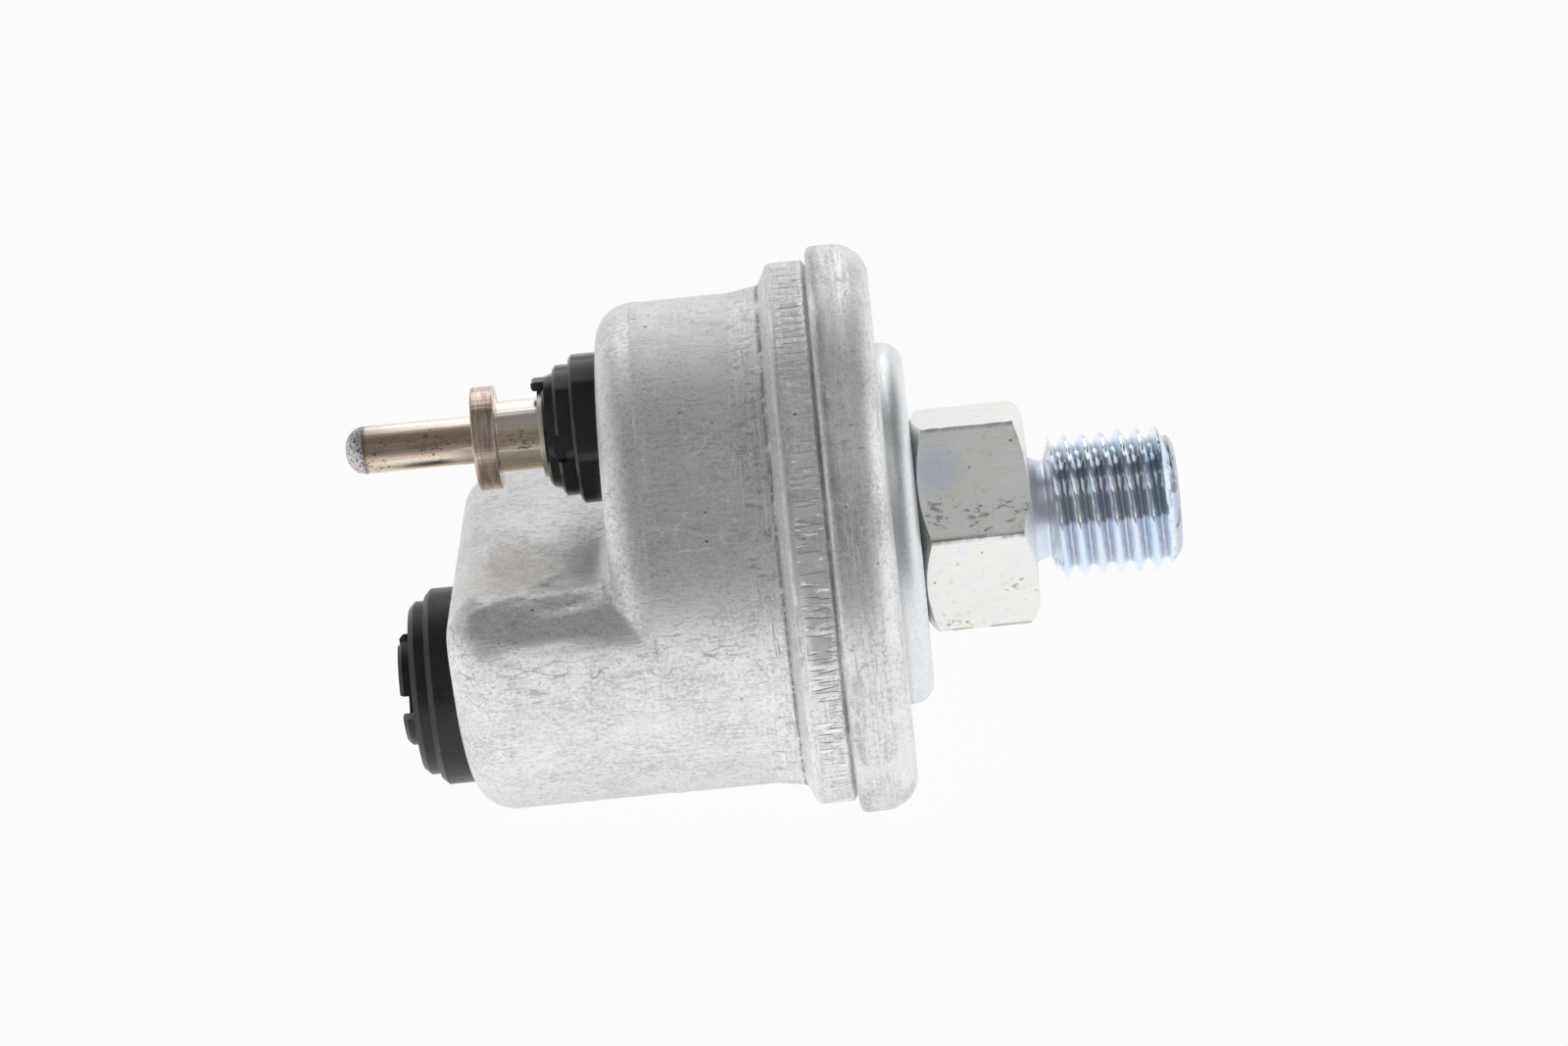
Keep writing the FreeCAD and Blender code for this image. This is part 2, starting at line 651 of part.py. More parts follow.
def resistance_winding():
    """Close turns of resistance wire round the card."""
    turn = WINDING_LENGTH / WINDING_TURNS
    around = 2 * WINDING_THICK
    width, thick = CARD_WIDTH + around, CARD_THICK + around
    thin = WINDING_THICK / 2
    core = card_block(WINDING_LENGTH, width - 2 * thin, WINDING_Y + thin, thick - 2 * thin)
    wire = card_block(turn / 2, width, WINDING_Y, thick)
    start = (WINDING_LENGTH - turn) / 2
    turns = [wire.translated(CARD_ALONG * (start - i * turn)) for i in range(WINDING_TURNS)]
    return core.fuse(turns).cut(card_block(CARD_LENGTH, CARD_WIDTH, CARD_Y, CARD_THICK))


def card_bracket():
    """Open frame of strips that holds the card beside the ear."""
    pivot = Vector(PIVOT_X, 0, PIVOT_Z)
    points = [pivot] + CARD_ENDS
    strips = [link(points[i - 1], points[i], BRACKET_WIDTH, BRACKET_Y, BRACKET_THICK) for i in range(3)]
    frame = strips[0].fuse(strips[1:] + [cross_bar(pivot, EAR_D, BRACKET_Y, BRACKET_Y + BRACKET_THICK)])
    frame = frame.removeSplitter().cut(cross_bar(pivot, PIVOT_D, -CAN_D, CAN_D))
    for end in CARD_ENDS:
        frame = frame.cut(cross_bar(end, CARD_RIVET_D, -CAN_D, CAN_D))
    return frame


def card_spacers():
    """Insulating washers between the card and its bracket."""
    back = CARD_Y + CARD_THICK
    spacers = []
    for end in CARD_ENDS:
        ring = cross_bar(end, SPACER_D, back, BRACKET_Y)
        spacers.append(ring.cut(cross_bar(end, CARD_RIVET_D, -CAN_D, CAN_D)))
    return Part.makeCompound(spacers)


def card_rivets():
    """Rivets through the card, the spacers and the bracket."""
    rivets = []
    low, high = CARD_Y, BRACKET_Y + BRACKET_THICK
    for end in CARD_ENDS:
        shank = cross_bar(end, CARD_RIVET_D, low, high)
        heads = [
            cross_bar(end, CARD_RIVET_HEAD_D, low - CARD_RIVET_HEAD, low),
            cross_bar(end, CARD_RIVET_HEAD_D, high, high + CARD_RIVET_HEAD),
        ]
        rivets.append(shank.fuse(heads).removeSplitter())
    return Part.makeCompound(rivets)


def terminal_pin():
    """Turned brass pin: bullet end, collar, shank and a stem riveted inside."""
    head = LUG_X + LUG_THICK
    return turned([
        (PIN_X - PIN_LENGTH, 0, 0),
        (PIN_X - PIN_LENGTH, PIN_D / 2, PIN_TIP_ROUND),
        (PIN_X, PIN_D / 2, 0),
        (PIN_X, COLLAR_D / 2 - COLLAR_CHAMFER, 0),
        (PIN_X + COLLAR_CHAMFER, COLLAR_D / 2, 0),
        (COLLAR_X - COLLAR_CHAMFER, COLLAR_D / 2, 0),
        (COLLAR_X, COLLAR_D / 2 - COLLAR_CHAMFER, 0),
        (COLLAR_X, SHANK_D / 2, 0),
        (NOSE_X - WASHER_THICK, SHANK_D / 2, 0),
        (NOSE_X - WASHER_THICK, STEM_D / 2, 0),
        (head, STEM_D / 2, 0),
        (head, HEAD_D / 2, 0),
        (head + HEAD_THICK, HEAD_D / 2, -HEAD_THICK / 2),
        (head + HEAD_THICK, 0, 0),
    ], TERMINAL_Z)


def terminal_washer():
    """Thin washer between the pin's shank and its insulator."""
    return washer(NOSE_X - WASHER_THICK, NOSE_X, WASHER_D, STEM_D, TERMINAL_Z)


def terminal_insulator():
    """Stepped bush that insulates the pin from the can."""
    disc_x, second_x = SHELF_X - DISC_THICK, SHELF_X - DISC_THICK - SECOND_THICK
    bush = turned([
        (SHELF_INSIDE_X, STEM_D / 2, 0),
        (SHELF_INSIDE_X, SLEEVE_D / 2, 0),
        (SHELF_X, SLEEVE_D / 2, 0),
        (SHELF_X, DISC_D / 2, 0),
        (disc_x, DISC_D / 2, -BUSH_BEVEL),
        (disc_x, SECOND_D / 2, 0),
        (second_x, SECOND_D / 2, -BUSH_BEVEL),
        (second_x, NOSE_D / 2, 0),
        (NOSE_X, NOSE_FRONT_D / 2, -BUSH_BEVEL),
        (NOSE_X, STEM_D / 2, 0),
    ], TERMINAL_Z)
    top = TERMINAL_Z + NOSE_FRONT_D / 2
    nub = slab(NOSE_X - NUB_LENGTH, NOSE_X + NUB_LENGTH, -NUB_WIDTH / 2, NUB_WIDTH / 2, top - NUB_HEIGHT, top)
    nub = nub.makeFillet(NUB_HEIGHT * 0.4, edges_where(nub, lambda b: b.XMax < NOSE_X - NUB_LENGTH + 0.01))
    bush = bush.fuse(nub).removeSplitter()
    low, high = TERMINAL_Z - NOTCH_WIDTH / 2, TERMINAL_Z + NOTCH_WIDTH / 2
    for side in (-1, 1):
        y_from, y_to = sorted((side * (NOSE_D / 2 - NOTCH_SET), side * DISC_D))
        bush = bush.cut(slab(second_x - 1, second_x + NOTCH_DEPTH, y_from, y_to, low, high))
    return bush


def inner_insulator():
    """Insulating washer on the inside of the shelf."""
    return washer(SHELF_INSIDE_X, LUG_X, INNER_DISC_D, STEM_D, TERMINAL_Z)


def terminal_lug():
    """Brass tag under the riveted end of the pin."""
    eye = disc(LUG_X, LUG_X + LUG_THICK, LUG_D, TERMINAL_Z)
    tag = slab(LUG_X, LUG_X + LUG_THICK, 0, LUG_REACH, TERMINAL_Z - LUG_WIDTH / 2, TERMINAL_Z + LUG_WIDTH / 2)
    return eye.fuse(tag).removeSplitter().cut(disc(LUG_X - 1, LUG_X + 2, STEM_D, TERMINAL_Z))


def lead_wire():
    """Wire soldered from the tag to the top of the resistance card."""
    y = CARD_Y + CARD_THICK / 2
    side = Vector(-CARD_ALONG.z, 0, CARD_ALONG.x) * (CARD_WIDTH / 2)
    corner = CARD_MIDDLE + CARD_ALONG * (CARD_LENGTH / 2) + (side if side.x > 0 else -side)
    run_z = corner.z + LEAD_D / 2
    down_x = LUG_X + LUG_THICK + LEAD_D / 2
    top = Vector(down_x, y, TERMINAL_Z)
    bend_start = Vector(down_x, y, run_z + LEAD_BEND)
    bend_middle = Vector(
        down_x - LEAD_BEND * (1 - math.sqrt(0.5)), y, run_z + LEAD_BEND * (1 - math.sqrt(0.5)))
    bend_end = Vector(down_x - LEAD_BEND, y, run_z)
    finish = Vector(corner.x - LEAD_D, y, run_z)
    path = Part.Wire([
        Part.LineSegment(top, bend_start).toShape(),
        Part.Arc(bend_start, bend_middle, bend_end).toShape(),
        Part.LineSegment(bend_end, finish).toShape(),
    ])
    section = Part.Wire(Part.makeCircle(LEAD_D / 2, top, Vector(0, 0, -1)))
    return path.makePipeShell([section], True, True)


def blanking_plug():
    """Moulded plug that closes the second terminal hole, with a castellated ring."""
    step_x = TOWER_END_X - PLUG_THICK
    ring_x = step_x - PLUG_STEP_THICK
    front = ring_x - RING_HEIGHT
    plug = turned([
        (TOWER_INSIDE_X + CLIP_THICK, 0, 0),
        (TOWER_INSIDE_X + CLIP_THICK, PLUG_SLEEVE_D / 2, -BUSH_BEVEL),
        (TOWER_END_X, PLUG_SLEEVE_D / 2, 0),
        (TOWER_END_X, PLUG_D / 2, 0),
        (step_x, PLUG_D / 2, -PLUG_EDGE),
        (step_x, PLUG_STEP_D / 2, 0),
        (ring_x, PLUG_STEP_D / 2, -PLUG_EDGE),
        (ring_x, RING_D / 2, 0),
        (front, RING_D / 2, -RING_EDGE),
        (front, RING_HOLE_D / 2, 0),
        (ring_x, RING_HOLE_D / 2, 0),
        (ring_x, 0, 0),
    ], -PLUG_DROP)
    half, reach = RING_SLOT / 2, RING_D
    slots = [
        slab(front - 1, ring_x, -half, half, -PLUG_DROP - reach, -PLUG_DROP + reach),
        slab(front - 1, ring_x, -reach, reach, -PLUG_DROP - half, -PLUG_DROP + half),
    ]
    return plug.cut(slots[0].fuse(slots[1]))


def plug_clip():
    """Toothed spring clip pushed on the plug's sleeve inside the tower."""
    clip = washer(TOWER_INSIDE_X, TOWER_INSIDE_X + CLIP_THICK, CLIP_D, PLUG_SLEEVE_D, -PLUG_DROP)
    centre = Vector(0, 0, -PLUG_DROP)
    for i in range(CLIP_EARS):
        slot = slab(TOWER_INSIDE_X - 1, TOWER_INSIDE_X + 2, -CLIP_SLOT / 2, CLIP_SLOT / 2,
                    -PLUG_DROP, -PLUG_DROP + (CLIP_D + PLUG_SLEEVE_D) / 4)
        slot.rotate(centre, AXIS, 360 * i / CLIP_EARS)
        clip = clip.cut(slot)
    return clip


PARTS = [
    housing, base_plate, threaded_fitting, inlet_restrictor, sealing_gasket, diaphragm, clamp_ring,
    mechanism_bridge, bridge_rivets, ram, pivot_pin, rocker, wiper_arm, wiper_contact, return_spring,
    resistance_card, resistance_winding, card_bracket, card_spacers, card_rivets, terminal_pin,
    terminal_washer, terminal_insulator, inner_insulator, terminal_lug, lead_wire, blanking_plug, plug_clip,
]

os.makedirs("parts", exist_ok=True)
for make in PARTS:
    make().exportStep(f"parts/{make.__name__}.step")
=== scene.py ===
"""Looks of the oil pressure sender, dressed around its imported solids.

The can gets its drawn, creased skin, the fitting its real thread, the pin its turned and
worn brass, and every carried-over solid its own procedural finish. Meshes and places are
in metres in the frame of the solids, and the sizes named below are in millimetres.
"""

import json
import math

import bmesh
import bpy
import numpy as np
from bpy.props import FloatProperty, FloatVectorProperty, IntProperty, PointerProperty
from mathutils import Matrix, Vector, noise
from mathutils.bvhtree import BVHTree

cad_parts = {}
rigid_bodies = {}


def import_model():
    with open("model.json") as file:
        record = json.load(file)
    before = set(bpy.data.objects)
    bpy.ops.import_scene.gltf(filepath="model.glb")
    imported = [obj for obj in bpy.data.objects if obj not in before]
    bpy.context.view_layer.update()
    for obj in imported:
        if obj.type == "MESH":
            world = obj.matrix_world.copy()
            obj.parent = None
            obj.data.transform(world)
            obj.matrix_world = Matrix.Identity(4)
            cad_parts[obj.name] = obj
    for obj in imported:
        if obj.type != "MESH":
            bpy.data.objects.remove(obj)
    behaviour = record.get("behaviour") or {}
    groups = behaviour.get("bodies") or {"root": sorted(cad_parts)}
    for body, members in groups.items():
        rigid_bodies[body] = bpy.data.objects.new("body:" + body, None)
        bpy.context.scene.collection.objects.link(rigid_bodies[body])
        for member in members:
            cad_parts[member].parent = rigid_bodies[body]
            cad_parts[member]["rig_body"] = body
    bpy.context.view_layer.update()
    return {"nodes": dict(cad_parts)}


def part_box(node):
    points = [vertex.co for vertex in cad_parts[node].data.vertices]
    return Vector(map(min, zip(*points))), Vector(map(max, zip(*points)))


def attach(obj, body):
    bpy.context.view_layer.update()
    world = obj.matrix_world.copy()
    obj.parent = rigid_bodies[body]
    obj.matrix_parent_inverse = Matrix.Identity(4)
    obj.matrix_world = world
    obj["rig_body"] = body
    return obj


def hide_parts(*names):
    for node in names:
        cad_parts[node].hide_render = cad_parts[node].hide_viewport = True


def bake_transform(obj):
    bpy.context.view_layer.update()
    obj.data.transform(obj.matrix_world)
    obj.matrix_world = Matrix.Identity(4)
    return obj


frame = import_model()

bl_info = {
    "name": "Oil pressure sender",
    "version": (1, 0, 0),
    "blender": (4, 5, 0),
    "location": "3D View > Sidebar > Sender",
    "description": "Dresses an oil pressure sender with its finishes, thread and stage",
    "category": "Object",
}

MM = 0.001

# Photograph that the camera matches, in pixels
PHOTO_WIDTH = 1600
PHOTO_HEIGHT = 1067
ORIGIN_PX = (1051.0, 520.0)
FOCAL_PX = 5310.0
SENSOR_MM = 36.0

# Stepped can, as far as its skin is worked over
CAN_R = 20.35
LOBE_R = 20.3
SHELF_X = -34.2
SHELF_EDGE = 3.0
TOWER_END_X = -47.8
TOWER_WALL_Z = 2.8
TOWER_EDGE = 3.4
TOWER_CORNER = 4.5
STEP_FILLET = 1.6
SKIN_REACH = 0.45

# Where the turned rim takes over from the stepped end, and its outline from there to the
# lip and back inside, as x, radius and rounding
JOIN_X = -24.4
CAN_WALL = 1.1
RIM_OUTSIDE = [
    (-24.1, 20.35, 0), (-23.1, 20.35, 0), (-20.5, 20.75, 0.5), (-19.7, 22.45, 0.55), (-16.8, 22.45, 0.2),
    (-16.5, 21.95, 0), (-16.4, 21.95, 0), (-16.4, 23.5, 0.6), (-11.4, 23.5, 2.9), (-11.4, 16.3, 0.15),
    (-12.4, 16.3, 0),
]
RIM_INSIDE = [
    (-12.4, 21.9, 0), (-16.1, 21.9, 0), (-16.1, 21.35, 0), (-18.6, 21.35, 0), (-20.5, 19.65, 0),
    (-23.1, 19.25, 0),
]
PRESS_MARKS = (-18.3, -16.9)
PRESS_DEPTH = 0.16
RIM_UNEVEN = 0.05
RIM_STEP = 0.26

# Raised line round the can where the drawing punch stopped
SHELF_LINE_X = -31.0
SHELF_LINE_RISE = 0.09
SHELF_LINE_HALF = 0.35

# Fitting, from the mouth of its bore round to the back
THREAD_R = 5.925
THREAD_PITCH = 1.5
THREAD_DEPTH = 0.92
THREAD_FLAT = 0.14
THREAD_START_X = 1.95
THREAD_RUNOUT = 0.6
THREAD_END_X = 12.2
THREAD_LEAD = 1.2
THREAD_LEAD_R = 4.5
NECK_R = 4.0
NECK_ROOT_R = 4.45
NECK_TAPER = 1.0
RELIEF_R = 6.225
RELIEF_DEPTH = 0.25
HEX_HALF = 8.5
HEX_BACK_X = -9.3
HEX_FACE_R = 8.2
HEX_TURN = 7.0
CHAMFER_SLOPE = math.tan(math.radians(30))
HEX_CORNER_WEAR = 0.07
BORE_R = 2.0
BORE_MOUTH = 0.25
BORE_DEPTH = 7.0
PASSAGE_R = 1.6
SPIGOT_R = 4.5
STAKE_R = 6.0
PLATE_THICK = 1.5
STAKE_THICK = 0.8

# Terminal pin, measured from its tip
PIN_LENGTH = 10.7
PIN_R = 1.975
PIN_TIP_ROUND = 1.6
PIN_TIP_WORN = 1.8
COLLAR_THICK = 1.9
COLLAR_R = 4.25
COLLAR_ROUND = 0.14
SHANK_R = 2.95
STEM_R = 1.7
HEAD_R = 2.8
HEAD_THICK = 1.0
PIN_AROUND = 160
PIN_STEP = 0.18

# Leaf spring: thickness, inside radius of its bends and underside of its level part
LEAF_THICK = 0.25
LEAF_BEND = 0.6
LEAF_LEVEL_Z = 3.2

# Floor: how far it runs, its edge in front, its gap under the can and the share that glows
FLOOR_REACH = 3000.0
FLOOR_FRONT_Y = -80.0
FLOOR_GAP = 0.02
FLOOR_GLOW = 0.955


def link_piece(name, data):
    """A new object of a mesh, lamp or camera in the scene."""
    piece = bpy.data.objects.new(name, data)
    bpy.context.scene.collection.objects.link(piece)
    return piece


def shade_smooth(mesh, sharp_angle):
    """Smooth faces, split only at edges sharper than an angle in degrees."""
    mesh.polygons.foreach_set("use_smooth", np.ones(len(mesh.polygons), bool))
    mesh.set_sharp_from_angle(angle=math.radians(sharp_angle))


def new_mesh(name, points, faces):
    """Mesh of faces between points in millimetres."""
    mesh = bpy.data.meshes.new(name)
    mesh.from_pydata((np.array(points) * MM).tolist(), [], faces)
    mesh.update()
    return mesh


def ring_faces(here, after, around, turned_over=False):
    """Faces between two rings of points, each numbered from its first vertex."""
    faces = []
    for j in range(around):
        k = (j + 1) % around
        face = (here + j, after + j, after + k, here + k)
        faces.append(face[:1] + face[:0:-1] if turned_over else face)
    return faces


def loop_mesh(name, rings, around):
    """Closed mesh of rings of points, whose last ring joins the first."""
    faces = []
    for i in range(len(rings)):
        faces.extend(ring_faces(i * around, (i + 1) % len(rings) * around, around))
    return new_mesh(name, np.concatenate(rings), faces)


def turned_points(outline, around, axis_z):
    """Points turned about a line along X from an outline that starts and ends on it."""
    angles = np.linspace(0, 2 * np.pi, around, endpoint=False)
    points = [(outline[0][0], 0.0, axis_z)]
    for x, radius in outline[1:-1]:
        ys, zs = radius * np.cos(angles), radius * np.sin(angles) + axis_z
        points.extend(zip(np.full(around, x), ys, zs))
    points.append((outline[-1][0], 0.0, axis_z))
    return np.array(points)


def turned_faces(rings, around):
    """Faces of a turned form: a fan at each end and rings of four-sided faces between."""
    faces = [(0, 1 + (j + 1) % around, 1 + j) for j in range(around)]
    for i in range(rings - 1):
        faces.extend(ring_faces(1 + i * around, 1 + (i + 1) * around, around, turned_over=True))
    tail = 1 + (rings - 1) * around
    faces.extend((tail + j, tail + (j + 1) % around, tail + around) for j in range(around))
    return faces


def rounded_outline(corners, step):
    """Points along an open outline of (x, radius, rounding) corners, at most a step apart."""
    stops = []
    for i, (x, radius, rounding) in enumerate(corners):
        corner = np.array((x, radius))
        if rounding == 0 or i in (0, len(corners) - 1):
            stops.append(corner)
            continue
        back = np.array(corners[i - 1][:2]) - corner
        ahead = np.array(corners[i + 1][:2]) - corner
        back, ahead = back / np.hypot(*back), ahead / np.hypot(*ahead)
        half = math.acos(np.clip(back @ ahead, -1, 1)) / 2
        centre = corner + (back + ahead) / np.hypot(*(back + ahead)) * rounding / math.sin(half)
        start = corner + back * rounding / math.tan(half) - centre
        finish = corner + ahead * rounding / math.tan(half) - centre
        turn = math.atan2(start[0] * finish[1] - start[1] * finish[0], start @ finish)
        pieces = max(3, int(abs(turn) * rounding / step) + 1)
        for k in range(pieces + 1):
            c, s = math.cos(turn * k / pieces), math.sin(turn * k / pieces)
            stops.append(centre + np.array((c * start[0] - s * start[1], s * start[0] + c * start[1])))
    points = [stops[0]]
    for stop in stops[1:]:
        pieces = max(1, math.ceil(np.hypot(*(stop - points[-1])) / step))
        first = points[-1]
        points.extend(first + (stop - first) * (k + 1) / pieces for k in range(pieces))
    return np.array(points)


def field_noise(points, scale, seed):
    """Smooth noise from -1 to 1 at points, with waves about a scale long."""
    shift = Vector((seed * 17.3, seed * 5.1, seed * 9.7))
    return np.array([noise.noise(Vector(p) / scale + shift) for p in points])


def near_line(points, start, finish):
    """Distance from points to a straight stretch, and the share of the way along it."""
    start, along = np.array(start), np.array(finish) - np.array(start)
    share = np.clip((points - start) @ along / (along @ along), 0, 1)
    return np.linalg.norm(points - start - share[:, None] * along, axis=1), share


def both(a, b, rounding):
    """Field of what is inside both forms, with its outer edge rounded."""
    edge = np.hypot(np.maximum(a + rounding, 0), np.maximum(b + rounding, 0))
    return np.minimum(np.maximum(a, b), -rounding) + edge


def either(a, b, rounding):
    """Field of what is inside either form, with its inner corner filled."""
    corner = np.hypot(np.maximum(rounding - a, 0), np.maximum(rounding - b, 0))
    return np.maximum(np.minimum(a, b), rounding) - corner


def can_field(points):
    """Distance from the outer skin of the stepped can, below zero inside it."""
    x, z = points[:, 0], points[:, 2]
    radius = np.hypot(points[:, 1], z)
    body = both(radius - CAN_R, SHELF_X - x, SHELF_EDGE)
    side = both(radius - LOBE_R, z - TOWER_WALL_Z, TOWER_CORNER)
    tower = both(side, TOWER_END_X - x, TOWER_EDGE)
    middle = np.clip((CAN_R - 1.5 - radius) / 4, 0, 1)
    return either(body, tower, STEP_FILLET * middle * middle * (3 - 2 * middle))


def field_slope(points):
    """Direction out of the can's skin at points."""
    step = 0.02
    slope = np.empty_like(points)
    for axis in range(3):
        shift = np.zeros(3)
        shift[axis] = step
        slope[:, axis] = can_field(points + shift) - can_field(points - shift)
    return slope / np.maximum(np.linalg.norm(slope, axis=1), 1e-9)[:, None]


def pull_to_skin(points):
    """Points moved onto the can's skin."""
    for _ in range(3):
        points = points - field_slope(points) * can_field(points)[:, None]
    return points


# Folds that the press left in the can: ends, half width and height, outwards above zero
CREASES = [
    ((-45.8, -18.3, 1.6), (-41.5, -16.7, 2.7), 0.45, 0.24),
    ((-41.5, -16.7, 2.7), (-38.8, -13.0, 2.8), 0.5, 0.20),
    ((-45.2, -19.3, 1.0), (-40.8, -19.0, 1.3), 0.6, -0.2),
    ((-40.8, -18.4, 1.7), (-35.3, -17.8, 2.1), 0.9, -0.3),
    ((-46.1, -19.1, 0.5), (-41.8, -20.0, -0.3), 0.5, 0.18),
    ((-41.8, -20.0, -0.3), (-36.0, -19.9, 0.0), 0.55, 0.22),
    ((-40.5, -14.5, 2.8), (-37.0, -15.5, 2.8), 0.9, -0.24),
    ((-38.5, -11.0, 2.8), (-36.6, -12.6, 2.8), 0.4, 0.10),
    ((-43.0, -20.2, -1.5), (-42.4, -20.2, -1.6), 0.45, -0.18),
    ((-44.6, -20.2, -3.4), (-41.0, -19.6, -5.2), 0.6, 0.08),
]

# Where dark specks gather on the can, some of them over the folds: middle and reach
CAN_SMUDGES = [
    ((-39.5, -17.8, 1.8), 4.5), ((-42.5, -19.6, 0.4), 3.0), ((-36.9, -13.5, 2.8), 2.4),
    ((-37.4, 4.7, 2.8), 1.0), ((-42.1, -0.6, 2.8), 0.8), ((-36.0, 6.5, 2.8), 0.8),
    ((-42.7, -20.2, -1.5), 1.0),
]

# Marks that run round the can, by where they lie along x; the pressed band, the worn edges and the turned
# part also carry painted glints
DARK_SEAM = (-20.75, -20.45)
BEAD_SIDE = (-16.3, -15.3)
WORN_FOOT = (-23.3, -20.6)
PRESSED_BAND = (-18.9, -17.0)
TURNED_PART = (-24.0, -11.4)
WORN_EDGE_GLINT = (-19.75, -19.55)
WORN_SHELF_LINE_GLINT = (-31.15, -30.95)


def crease_height(points):
    """Height of the folds at points on the can's skin."""
    height = np.zeros(len(points))
    for start, finish, width, rise in CREASES:
        gap, share = near_line(points, start, finish)
        fade = np.sin(np.pi * np.clip(0.12 + 0.76 * share, 0, 1))
        height += rise * fade * np.exp(-(gap / width) ** 2)
    return height


def stepped_end(grid):
    """Even mesh of the can's stepped end, open where the turned rim takes over."""
    source = frame["nodes"]["housing"].data.copy()
    form = bmesh.new()
    form.from_mesh(source)
    bmesh.ops.remove_doubles(form, verts=form.verts, dist=1e-7)
    form.to_mesh(source)
    solid = BVHTree.FromBMesh(form)
    form.free()
    carrier = link_piece("can_carrier", source)
    remesh = carrier.modifiers.new("even_grid", "REMESH")
    remesh.mode = "VOXEL"
    remesh.voxel_size = grid
    depsgraph = bpy.context.evaluated_depsgraph_get()
    mesh = bpy.data.meshes.new_from_object(carrier.evaluated_get(depsgraph))
    bpy.data.objects.remove(carrier)
    form = bmesh.new()
    form.from_mesh(mesh)
    beyond = [face for face in form.faces if any(vert.co.x > JOIN_X * MM for vert in face.verts)]
    bmesh.ops.delete(form, geom=beyond, context="FACES")
    for vert in form.verts:
        vert.co = solid.find_nearest(vert.co)[0]
        if vert.is_boundary:
            radius = math.hypot(vert.co.y, vert.co.z) / MM
            grow = (CAN_R if radius > CAN_R - CAN_WALL / 2 else CAN_R - CAN_WALL) / radius
            vert.co = (JOIN_X * MM, vert.co.y * grow, vert.co.z * grow)
    return form


def work_skin(points, settings):
    """Moves the points of the can's outer skin to its folded and uneven form."""
    on_can = (points[:, 0] < JOIN_X - 0.01) & (np.abs(can_field(points)) < SKIN_REACH)
    skin = pull_to_skin(points[on_can])
    waves = field_noise(skin, 4.5, 1) + 0.5 * field_noise(skin, 2.0, 2)
    fade = np.clip((JOIN_X - skin[:, 0]) / 2, 0, 1)
    height = waves * settings.waves / MM * fade + crease_height(skin) * settings.creases
    above = np.clip((skin[:, 2] - 1.0) / 3, 0, 1)
    height += SHELF_LINE_RISE * above * np.exp(-((skin[:, 0] - SHELF_LINE_X) / SHELF_LINE_HALF) ** 2)
    points[on_can] = skin + field_slope(skin) * height[:, None]
    return points


def rim_rings(settings):
    """Rings of points over the turned rim with its press marks, and back inside."""
    outside = rounded_outline(RIM_OUTSIDE, RIM_STEP)
    outline = np.concatenate([outside, [(x, radius) for x, radius, _ in RIM_INSIDE]])
    angle = np.linspace(-math.pi, math.pi, settings.around, endpoint=False)
    rings = []
    for i, (x, radius) in enumerate(outline):
        ring = np.stack([np.full(len(angle), x), radius * np.cos(angle), radius * np.sin(angle)], 1)
        if i < len(outside) and radius > CAN_R - 0.1:
            pressed = np.clip((x - PRESS_MARKS[0]) / 0.3, 0, 1) * np.clip((PRESS_MARKS[1] - x) / 0.3, 0, 1)
            marks = np.clip(field_noise(ring * (0.3, 1, 1), 0.75, 3) + 0.1, 0, 1)
            uneven = 0.5 + 0.5 * field_noise(ring, 6.0, 4)
            fade = np.clip((x - RIM_OUTSIDE[1][0]) / 2, 0, 1)
            sunk = PRESS_DEPTH * pressed * marks + RIM_UNEVEN * uneven * fade
            ring[:, 1:] *= (1 - sunk / radius)[:, None]
        rings.append(ring)
    return rings


def stitched(first, second):
    """Triangles between two rings of (angle, vertex) pairs around the axis."""
    first, second = sorted(first), sorted(second)
    first.append((first[0][0] + 2 * math.pi, first[0][1]))
    second.append((second[0][0] + 2 * math.pi, second[0][1]))
    faces, i, j = [], 0, 0
    while i < len(first) - 1 or j < len(second) - 1:
        at_end = j == len(second) - 1
        if at_end or (i < len(first) - 1 and first[i + 1][0] <= second[j + 1][0]):
            faces.append((first[i][1], first[i + 1][1], second[j][1]))
            i += 1
        else:
            faces.append((first[i][1], second[j + 1][1], second[j][1]))
            j += 1
    return faces


def can_mesh(settings):
    """One closed skin of the can: a stepped end with folds, and a turned rim."""
    form = stepped_end(settings.grid)
    points = np.array([vert.co for vert in form.verts]) / MM
    form.verts.index_update()
    faces = [tuple(vert.index for vert in face.verts) for face in form.faces]
    outer, inner = [], []
    for vert in form.verts:
        if vert.is_boundary:
            on_outside = math.hypot(vert.co.y, vert.co.z) / MM > CAN_R - CAN_WALL / 2
            (outer if on_outside else inner).append((math.atan2(vert.co.z, vert.co.y), vert.index))
    form.free()
    points = work_skin(points, settings)
    rings = rim_rings(settings)
    start, around = len(points), settings.around
    for i in range(len(rings) - 1):
        faces.extend(ring_faces(start + i * around, start + (i + 1) * around, around, turned_over=True))
    angle = np.linspace(-math.pi, math.pi, around, endpoint=False)
    faces.extend(stitched(outer, [(a, start + j) for j, a in enumerate(angle)]))
    last = start + (len(rings) - 1) * around
    faces.extend(stitched(inner, [(a, last + j) for j, a in enumerate(angle)]))
    mesh = new_mesh("can_skin", np.concatenate([points, *rings]), faces)
    form = bmesh.new()
    form.from_mesh(mesh)
    bmesh.ops.recalc_face_normals(form, faces=form.faces)
    form.to_mesh(mesh)
    form.free()
    shade_smooth(mesh, 50)
    return mesh


def hex_radius(angle):
    """Distance from the axis to the hexagon at an angle from Y towards Z."""
    face = math.radians(90 - HEX_TURN)
    off = (angle - face + math.pi / 6) % (math.pi / 3) - math.pi / 6
    radius = HEX_HALF / np.cos(off)
    from_corner = math.pi / 6 - np.abs(off)
    return radius - HEX_CORNER_WEAR * np.exp(-(from_corner / math.radians(1.1)) ** 2)


